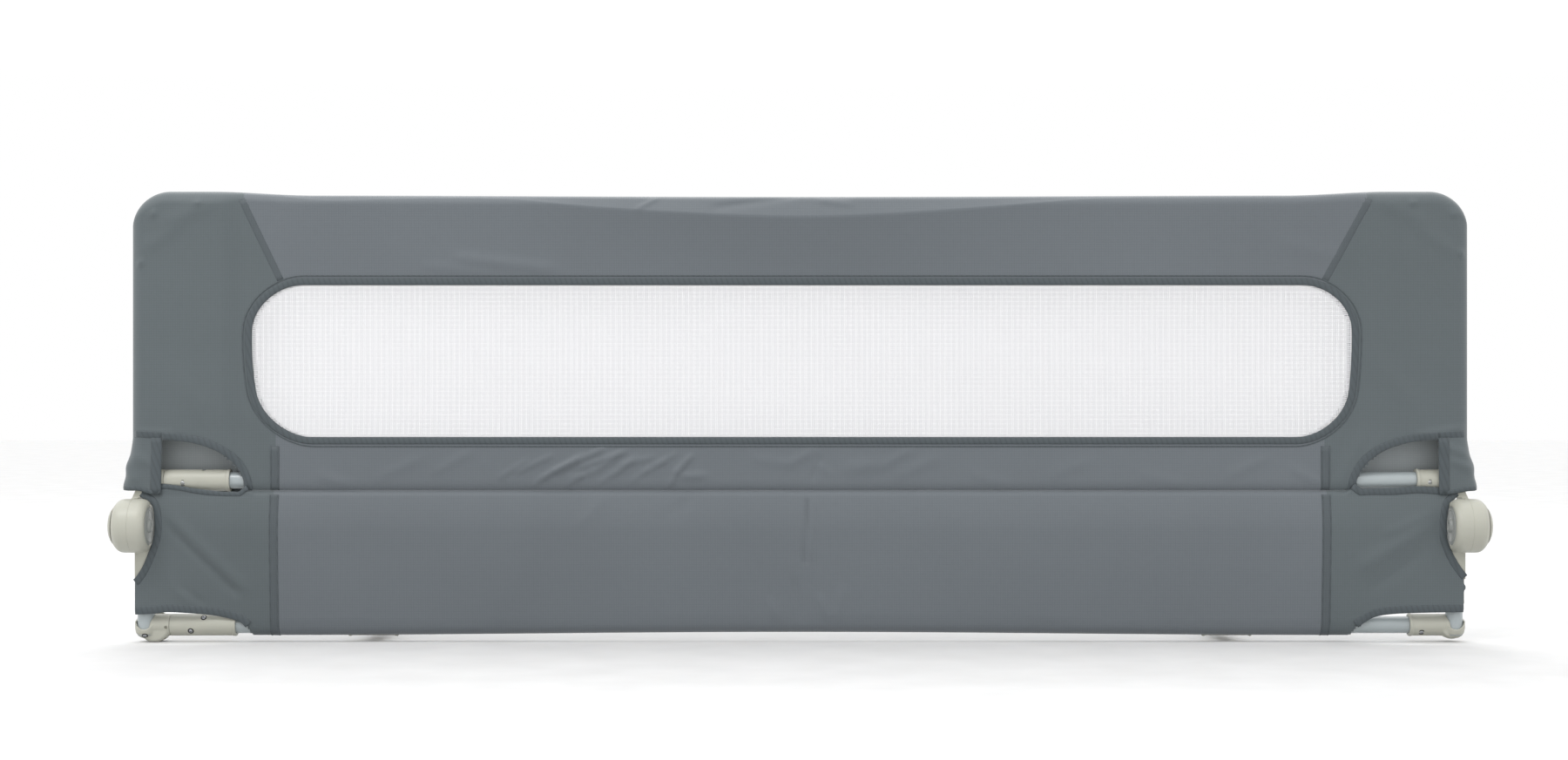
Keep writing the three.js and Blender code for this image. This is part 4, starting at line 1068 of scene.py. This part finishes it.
def skirt_strip(name, x, width, thickness, material, lift):
    """A strip down the whole skirt and round the bar."""
    section = skirt_section(x)[2:-4]
    section.insert(0, tuple(2 * Vector(section[0]) - Vector(section[1])))
    path, normals = [], []
    for before, spot, after in zip(section, section[1:], section[2:]):
        run = Vector(after) - Vector(before)
        normal = run.cross(Vector((1, 0, 0))).normalized()
        normals.append(tuple(normal))
        path.append(tuple(Vector(spot) + normal * (lift + 0.6 * (len(path) < 2))))
    return turning_tape(name, path, normals, width, thickness, material)


def skirt_side_seam(side, name, row=UPRIGHT_SEAM):
    part, offset, width, thickness, material, _, lift = row
    return skirt_strip(f"{name}_skirt_{part}", side * (SIDE_SEAM_X + offset), width, thickness, material, lift)


def skirt_top_hem(side, name):
    wide = TOP_HEM[side]
    rows = [(side * x, top_edge(side * x) - wide / 2 + 0.5 * math.sin(x / 9) + 0.9 * max(0, 628 - x))
            for x in range(619, 727, 3)]
    return skirt_tape(f"{name}_skirt_top_hem", rows, wide, 1.2)


skirt = make_skirt()
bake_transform(skirt)
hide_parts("skirt")
SKIRT_TRIMS = []
for make in (bite_tape, hem_tape, skirt_side_seam, skirt_top_hem):
    SKIRT_TRIMS += paired(make)
SKIRT_TRIMS += [skirt_side_seam(side, name, row) for side, name in ENDS for row in STITCHES]


# Moulded pieces. Each is built for the right end, with X outwards from the upright, and mirrored for the left.

SEGMENTS, EASE_STEPS = 72, 3  # of a turned shape, and of its rounded corners
VOXEL, MELT_ROUNDS = 0.75, 5


def eased(profile, radius):
    """Rounds the corners of an outline of [along, out] points."""
    points = [Vector(point) for point in profile]
    result = []
    for k, corner in enumerate(points):
        before, after = points[k - 1], points[(k + 1) % len(points)]
        a, b = before - corner, after - corner
        room = min(radius, a.length * 0.45, b.length * 0.45)
        turn = a.angle(b, math.pi)
        if corner.y < 0.01 or turn > math.radians(165) or room < 0.05:
            result.append(tuple(corner))
            continue
        start, end = corner + a.normalized() * room, corner + b.normalized() * room
        for n in range(EASE_STEPS + 1):
            t = n / EASE_STEPS
            result.append(tuple((1 - t) ** 2 * start + 2 * t * (1 - t) * corner + t * t * end))
    return result


AXES = {"x": lambda a, p, q: (a, p, q), "y": lambda a, p, q: (p, a, q), "z": lambda a, p, q: (p, q, a)}


def lathe(profile, axis, centre=(0, 0, 0), ease=0.6, segments=SEGMENTS):
    """Points and faces of a closed outline of [along, radius] pairs turned about an axis."""
    rows = eased(profile, ease) if ease else profile
    points, faces, index = [], [], []
    for along, radius in rows:
        ring = []
        for k in range(1 if radius < 0.001 else segments):
            angle = 2 * math.pi * k / segments
            spot = AXES[axis](along, radius * math.cos(angle), radius * math.sin(angle))
            ring.append(len(points))
            points.append(tuple(c + s for c, s in zip(centre, spot)))
        index.append(ring)
    for a, b in zip(index, index[1:] + index[:1]):
        if len(a) == len(b) == 1:
            continue
        for k in range(segments):
            m = (k + 1) % segments
            if len(a) == 1:
                faces.append((a[0], b[k], b[m]))
            else:
                faces.append((a[k], a[m], b[0]) if len(b) == 1 else (a[k], a[m], b[m], b[k]))
    return points, faces


def rod(radius, axis, start, end, centre=(0, 0, 0), ease=0.6):
    return lathe([(start, 0), (start, radius), (end, radius), (end, 0)], axis, centre, ease)


def slab(outline, place_at):
    """A prism. place_at(a, b, side) gives the point of an outline's corner on side 0 or 1."""
    count = len(outline)
    points = [place_at(a, b, side) for side in (0, 1) for a, b in outline]
    faces = [tuple(range(count)), tuple(range(2 * count - 1, count - 1, -1))]
    faces += [(k, (k + 1) % count, count + (k + 1) % count, count + k) for k in range(count)]
    return points, faces


def along_x(outline, start, end):
    return slab(outline, lambda y, z, side: ((start, end)[side], y, z))


def along_y(outline, start, end):
    return slab(outline, lambda x, z, side: (x, (start, end)[side], z))


def block(low, high):
    return along_x([(low[1], low[2]), (high[1], low[2]), (high[1], high[2]), (low[1], high[2])], low[0], high[0])


class Moulding:
    """A solid put together from simple ones, placed at an end of the rail."""

    def __init__(self, name, side, origin, material):
        self.name, self.side, self.origin, self.material = name, side, origin, material
        self.piece = None

    def shape(self, parts):
        points, faces = parts
        ox, oy, oz = self.origin
        placed = [(self.side * (ox + x), oy + y, oz + z) for x, y, z in points]
        piece = add_mesh("shape", placed, faces, self.material, smooth=False)
        tidy(piece)
        return piece

    def boolean(self, parts, operation):
        carve(self.piece, self.shape(parts), operation)

    def add(self, *several):
        for parts in several:
            if self.piece is None:
                self.piece = self.shape(parts)
            else:
                self.boolean(parts, "UNION")

    def cut(self, *several):
        for parts in several:
            self.boolean(parts, "DIFFERENCE")

    def melt(self):
        """Blends the joints of the solid as a mould does, and rounds its edges."""
        step = self.piece.modifiers.new("remesh", "REMESH")
        step.mode, step.voxel_size = "VOXEL", VOXEL * MM
        step = self.piece.modifiers.new("smooth", "SMOOTH")
        step.factor, step.iterations = 0.5, MELT_ROUNDS
        apply_modifiers(self.piece)

    def done(self, body, *nodes, slot="moulded_plastic", auto=False):
        piece = self.piece
        piece.name = self.name
        piece.data.name = self.name
        piece.data.materials.clear()
        piece.data.materials.append(self.material)
        shade_smooth(piece.data)
        if auto:
            piece.data.set_sharp_from_angle(angle=math.radians(32))
        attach(piece, body)
        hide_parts(*nodes)
        return piece


# Sizes of the drum hinge, outwards from the upright's axis
DRUM_R, DRUM_IN, PARTING = 30, -8.2, 9.8  # inner face, and where the two halves meet
CONE = [(18.5, 30), (21.8, 29.7), (24.8, 28.4), (27.4, 25.8), (29, 24)]
BORE_R, MOUTH_R = 22.8, 21.9  # inside the drum, and where the button comes out
GAP = 0.03  # between the halves
SPARE = 3  # cut off after the edges are rounded, so that the two halves meet with a fine line
SOCKET_R, COLLAR_R, COLLAR_LONG = 12.3, 13.2, 3.4
POST_R = 12.8
UP_Y, DOWN_Y = -HINGE_Y, LEG_Y - HINGE_Y  # the upright and the leg, from the hinge's axis
CROSS_UP = CROSS_Z - HINGE_Z
HUB = (POST_X, HINGE_Y, HINGE_Z)
POST_TOP = 104  # of the socket for the upright, above the hinge's axis
LEG_SOCKET_Z, LEG_SOCKET_R = 43, 11.5
# How far the sockets of the crossbar and of the bottom bar reach inwards. The left ones are spigots.
CROSS_SOCKET = {-1: -20.7, 1: -42.8}
BAR_SOCKET = {-1: -27.5, 1: -50.7}
FIT_R = TUBE_R + 0.3  # hole for a tube


def outer_half(side, name):
    m = Moulding(f"{name}_hub_shell", side, HUB, PLASTIC)
    start = PARTING - SPARE
    shell = lathe([(start, 0), (start, DRUM_R), *CONE, (CONE[-1][0], 0)], "x", ease=0.5)
    side_view = along_x([(-15, 20.7), (8.2, 31.2), (8.2, POST_TOP), (UP_Y + POST_R, POST_TOP), (UP_Y + POST_R, 40),
                         (26.8, 0), (0, 0)], -35, 35)
    front_view = along_y([(start, 0), (start, 30.8), (-8, 31.4), (-6, 37), (-4.3, 43), (-4.3, POST_TOP),
                          (4.3, POST_TOP), (4.3, 46), (9.8, 40), (13.8, 30.9), (15.4, 21), (15.4, 0)], -60, 60)
    m.add(side_view)
    m.boolean(front_view, "INTERSECT")
    m.add(shell, rod(POST_R, "z", 40, POST_TOP, (0, UP_Y, 0)))
    reach = CROSS_SOCKET[side]
    m.add(rod(SOCKET_R, "x", reach, 0, (0, UP_Y, CROSS_UP)))
    if side > 0:
        m.add(rod(COLLAR_R, "x", reach, reach + COLLAR_LONG, (0, UP_Y, CROSS_UP)))
    m.melt()
    m.cut(rod(MOUTH_R, "x", 12, 40, ease=0), rod(BORE_R, "x", 0, 19, ease=0))
    m.cut(rod(DRUM_R + 0.7, "x", start - 6, PARTING + GAP, ease=0))
    if side > 0:
        m.cut(rod(FIT_R, "x", reach - 4, reach + 6, (0, UP_Y, CROSS_UP), ease=0))
    return m.done("guard", f"{name}_hub_outer")


def inner_half(side, name):
    m = Moulding(f"{name}_hub_base", side, HUB, PLASTIC)
    end = PARTING + SPARE
    shell = lathe([(DRUM_IN, 0), (DRUM_IN, 24.6), (DRUM_IN + 1.6, 27.2), (DRUM_IN + 4.4, 29.2), (-0.8, DRUM_R),
                   (end, DRUM_R), (end, 0)], "x", ease=1.2)
    bottom = LEG_SOCKET_Z - HINGE_Z
    front = DOWN_Y + LEG_SOCKET_R
    plate = along_x([(5, 0), (5, -60), (front, -60), (front, 0)], -10, end)
    at = (0, DOWN_Y, 0)
    m.add(shell, plate, rod(LEG_SOCKET_R, "z", bottom, -DRUM_R, at),
          rod(LEG_SOCKET_R + 0.4, "z", bottom, bottom + COLLAR_LONG, at))
    m.melt()
    m.cut(block((PARTING - GAP, -60, -130), (end + 4, 60, 40)))
    m.cut(rod(22, "x", -16, DRUM_IN + 1.4, ease=0), rod(FIT_R, "z", bottom - 4, bottom + 8, at, ease=0))
    return m.done("base", f"{name}_hub_inner")


def face_disc(side, name):
    m = Moulding(f"{name}_face_disc", side, HUB, GREY_PLASTIC)
    face, back = DRUM_IN + 0.3, DRUM_IN + 1.3
    m.add(lathe([
        (back, 0), (back, 21.6), (face + 0.5, 21.6), (face, 21.1), (face, 18.6), (face - 0.6, 18.2),
        (face - 0.6, 17.2), (face, 16.8), (face, 8.6), (face - 0.6, 7.8), (face - 2.4, 7), (face - 2.8, 6.6),
        (face - 2.8, 3.9), (face - 2.4, 3.5), (face - 1.9, 3.4), (face - 1.9, 0)], "x", ease=0.25))
    piece = m.done("base", f"{name}_hub_disc", slot="grey_plastic", auto=True)
    piece.data.materials.append(PAINTED_SHADE)
    # Painted shade: the faces of the central bore take the near-black finish, for the shade inside the hole.
    for panel in piece.data.polygons:
        spot = panel.center / MM
        inside = math.hypot(spot.y - HINGE_Y, spot.z - HINGE_Z) < 3.6 and abs(spot.x) < POST_X + face - 0.5
        panel.material_index = int(inside)
    return piece


def button(side, name):
    m = Moulding(f"{name}_push_button", side, HUB, PLASTIC)
    m.add(lathe([(24.6, 0), (24.6, 21.1), (27.6, 21.1), (28, 18.6), (30.5, 18.6), (30.6, 21.1), (31.9, 20.1),
                 (33.3, 18), (34.6, 15.3), (35.6, 12), (36.1, 8), (36.2, 0)], "x", ease=0.4))
    return m.done(f"{name}_button", f"{name}_release_button", auto=True)


def knuckle(side, name):
    m = Moulding(f"{name}_corner_knuckle", side, (POST_X, 0, 0), PLASTIC)
    if side < 0:
        lobe = lathe([(-11, 0), (-11, 14.2), (-9.6, 16), (-8, 16.8), (8, 16.8), (9.6, 16), (11, 14.2), (11, 0)],
                     "y", (-10.4, 0, 16), ease=0.8)
    else:
        lobe = lathe([(-11.5, 0), (-11.5, 11), (-8, 13.6), (8, 13.6), (11, 12), (11, 0)], "y", (-3.5, 0, 16.8))
    cup = lathe([(4.2, 0), (4.2, 4.5), (6.5, 8.4), (10, 11), (15, 12), (30, 12.2), (30, 0)], "z", (0, LEG_Y, 0))
    reach = BAR_SOCKET[side]
    m.add(lobe, cup)
    m.cut(along_x([(LEG_Y - 24, 21), (LEG_Y, 24), (LEG_Y + 12.2, 30), (LEG_Y + 12.2, 60), (LEG_Y - 24, 60)], -30, 30),
          rod(10, "y", LEG_Y - 24, LEG_Y, (0, 0, 24.6), ease=0))
    m.add(rod(SOCKET_R, "x", reach, 0, (0, 0, BAR_Z)))
    if side > 0:
        m.add(rod(COLLAR_R - 0.3, "x", reach, reach + COLLAR_LONG, (0, 0, BAR_Z)))
    m.cut(block((-60, -40, -30), (30, 40, 0.35)))
    m.melt()
    m.cut(rod(FIT_R, "z", 7.2, 34, (0, LEG_Y, 0), ease=0))
    if side > 0:
        m.cut(rod(FIT_R, "x", reach - 4, reach + 6, (0, 0, BAR_Z), ease=0),
              rod(2.3, "y", -38, -15, (-7.4, 0, 8.4), ease=0))
    else:
        m.cut(rod(1.9, "y", -20, -9.6, (-24, 0, BAR_Z - 2), ease=0))
    piece = m.done("base", f"{name}_knuckle")
    for vert in piece.data.vertices:  # nothing lies below the ground
        vert.co.z = max(vert.co.z, 0)
    return piece


def sleeve(name, x, z, body, node, notch=None):
    """Coupling on the left end of a bar: a tapered moulding with a step at its inner end."""
    m = Moulding(name, -1, (x, 0, z), PLASTIC)
    m.add(lathe([(-73.5, 9.8), (-73.5, 12.6), (-70.1, 12.6), (-69.6, 12.1), (-24, 12.25), (-20, 12.3), (0, 12.3),
                 (0, 9.8)], "x", ease=0.5))
    if notch is not None:
        m.cut(rod(2.8, "y", -6, 6, (notch, 0, 13.4), ease=0))
    return m.done(body, node, auto=True)


# Arms under the mattress. The tee is a saddle behind the bar: the skirt passes in front of it.
FOOT_LOW, FOOT_HIGH = node_box("right_arm_foot")
TEE_LONG, TEE_REACH = 28, 48


def arm_tee(side, name):
    m = Moulding(f"{name}_arm_saddle", side, (ARM_X, 0, ARM_Z), PLASTIC)
    m.add(rod(SOCKET_R, "x", -TEE_LONG, TEE_LONG), rod(SOCKET_R, "y", 0, TEE_REACH))
    for start in (-TEE_LONG, TEE_LONG - COLLAR_LONG):
        m.add(rod(COLLAR_R, "x", start, start + COLLAR_LONG))
    m.add(rod(COLLAR_R, "y", TEE_REACH - COLLAR_LONG, TEE_REACH))
    m.melt()
    m.cut(block((-60, -40, -40), (60, 0.3, 40)), rod(TUBE_R + 0.8, "x", -60, 60, ease=0),
          rod(TUBE_R + 0.25, "y", TEE_REACH - 5, TEE_REACH + 5, ease=0))
    return m.done("base", f"{name}_arm_tee")


def arm_foot(side, name):
    m = Moulding(f"{name}_rubber_foot", side, (ARM_X, 0, ARM_Z), RUBBER)
    start, end = FOOT_LOW[1] - PLANE_Y, FOOT_HIGH[1] - PLANE_Y
    reach = ARM_Z + 1.2
    m.add(lathe([(start, 0), (start, reach - 4), (start + 4, reach), (end - 5, reach), (end, reach - 6), (end, 0)],
                "y", ease=2.5))
    m.melt()
    m.cut(block((-60, start - 9, -60), (60, end + 9, 0.05 - ARM_Z)),
          rod(TUBE_R + 0.15, "y", start - 6, start + 9, ease=0))
    for k in (1, 2, 3):
        middle = start + (end - start) * k / 4
        m.cut(block((-60, middle - 1.2, -60), (60, middle + 1.2, 1.1 - ARM_Z)))
    return m.done("base", f"{name}_arm_foot", slot="foot_rubber", auto=True)


SCREW_R, SCREW_SINK, SCREW_STEPS = 2.3, 0.5, 28
# Painted shade: a thin near-black ring round each screw head stands in for the shade of a recessed seat.
SHADE_RING_R = 3.5  # dark ring round the head


def screw(name, side, at, facing, body):
    """Pan head with a cross recess, on a thin near-black ring of painted shade that stands in for a shaded seat.
    facing is the way that the head looks.
    """
    turn = Vector(facing).to_track_quat("Z", "Y").to_matrix()
    spot = Vector((side * at[0], at[1], at[2]))

    def solid(label, parts, material, smooth=True):
        points, faces = parts
        placed = [tuple(spot + turn @ (Vector(point) - Vector((0, 0, SCREW_SINK)))) for point in points]
        piece = add_mesh(label, placed, faces, material, smooth)
        tidy(piece)
        return piece

    r = SCREW_R
    outline = [(-2, 0), (-2, r * 0.6), (0, r), (0.7, r * 0.94), (1.3, r * 0.6), (1.5, 0)]
    head = solid(name, lathe(outline, "z", ease=0.2, segments=SCREW_STEPS), STEEL)
    for half_x, half_y in ((r * 0.16, r * 0.62), (r * 0.62, r * 0.16)):
        slot = block((-half_x, -half_y, 0.55), (half_x, half_y, 3))
        carve(head, solid("shape", slot, PAINTED_SHADE, smooth=False), "DIFFERENCE")
    # A thin near-black disc round the head: painted shade, not a real part.
    outline = [(-1.5, 0), (-1.5, SHADE_RING_R), (0.3, SHADE_RING_R), (0.42, SHADE_RING_R - 0.3), (0.3, 0)]
    shade_ring = solid(f"{name}_seat", lathe(outline, "z", ease=0, segments=SCREW_STEPS), PAINTED_SHADE)
    for piece, slot in ((head, "steel_parts"), (shade_ring, "moulded_plastic")):
        piece.data.set_sharp_from_angle(angle=math.radians(40))
        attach(piece, body)


TUBE_WALL, TUBE_STEPS = 1.2, 48


def tube(name, points, body, node):
    """A round tube through points, open at its ends."""
    curve = [Vector(point) for point in points]
    turns = [2 * math.pi * n / TUBE_STEPS for n in range(TUBE_STEPS)]
    outer, inner = [], []
    for k, spot in enumerate(curve):
        along = (curve[min(k + 1, len(curve) - 1)] - curve[max(k - 1, 0)]).normalized()
        side = along.cross(Vector((0, 0, 1)) if abs(along.z) < 0.9 else Vector((0, 1, 0))).normalized()
        up = side.cross(along)
        for ring, r in ((outer, TUBE_R), (inner, TUBE_R - TUBE_WALL)):
            ring.append([tuple(spot + r * (math.cos(a) * side + math.sin(a) * up)) for a in turns])
    loops = outer + inner[::-1]
    faces = ring_faces(len(loops), TUBE_STEPS, closed=True)
    piece = add_mesh(name, [p for loop in loops for p in loop], faces, PAINT)
    tidy(piece)
    piece.data.set_sharp_from_angle(angle=math.radians(50))
    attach(piece, body)
    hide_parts(node)


for make in (outer_half, inner_half, face_disc, button, knuckle, arm_tee, arm_foot):
    paired(make)

SPLIT = 0.3  # line between a sleeve and the moulding that it is pushed against
sleeve("left_cross_coupling", POST_X + CROSS_SOCKET[-1] - SPLIT, CROSS_Z, "guard", "left_cross_sleeve", notch=-43.3)
sleeve("left_bar_coupling", POST_X + BAR_SOCKET[-1] - SPLIT, BAR_Z, "base", "left_bar_sleeve")

for end, name in ENDS:
    tube(f"{name}_leg_tube", [(end * POST_X, LEG_Y, z) for z in (LEG_LOW[2], LEG_HIGH[2])], "base", f"{name}_leg")
    tube(f"{name}_under_arm", [(end * ARM_X, y - PLANE_Y, ARM_Z) for y in (ARM_LOW[1], ARM_HIGH[1])],
         "base", f"{name}_arm")
tube("crossbar_tube", [(x, 0, CROSS_Z) for x in (CROSS_LOW[0], CROSS_HIGH[0])], "guard", "crossbar")
tube("bottom_bar_tube", [(float(x), 0, float(bar_z(x))) for x in np.linspace(BAR_LOW[0], BAR_HIGH[0], 41)],
     "base", "bottom_bar")

SCREWS = [
    # name, side, place, facing, body
    ("left_bar_screw_top", -1, (669, -8.4, BAR_Z + 9.0), (0, -0.68, 0.73), "base"),
    ("left_bar_screw_front", -1, (683, -10.8, BAR_Z - 6.2), (0, -0.87, -0.5), "base"),
    ("left_knuckle_screw", -1, (733.8, -13.2, 7.1), (0.05, -0.70, -0.71), "base"),
    ("right_knuckle_screw", 1, (697, -9.5, BAR_Z - 7.8), (0, -0.77, -0.64), "base"),
    ("left_cross_screw", -1, (692, -11.8, CROSS_Z - 2.6), (0, -0.98, -0.2), "guard"),
    ("right_cross_screw", 1, (706, -11.8, CROSS_Z - 2.0), (0, -0.98, -0.2), "guard"),
]
for row in SCREWS:
    screw(*row)

# Floor
FLOOR_HALF, FLOOR_Z = 9000, -0.2
corners = [(x * FLOOR_HALF, y * FLOOR_HALF, FLOOR_Z) for x, y in ((-1, -1), (1, -1), (1, 1), (-1, 1))]
floor = add_mesh("floor", corners, [(0, 1, 2, 3)], moulded("pale_floor", (0.6, 0.6, 0.6, 1), 0.8), smooth=False)

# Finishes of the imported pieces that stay
KEPT = [("top_tube", PAINT)]
for _, name in ENDS:
    KEPT += [(f"{name}_side_tube", PAINT), (f"{name}_elbow", PLASTIC)]
    KEPT += [(f"{name}_{part}", STEEL) for part in ("axle_bolt", "axle_nut", "lock_gear", "lock_spring")]
for node, material in KEPT:
    slots = frame["nodes"][node].data.materials
    slots.clear()
    slots.append(material)
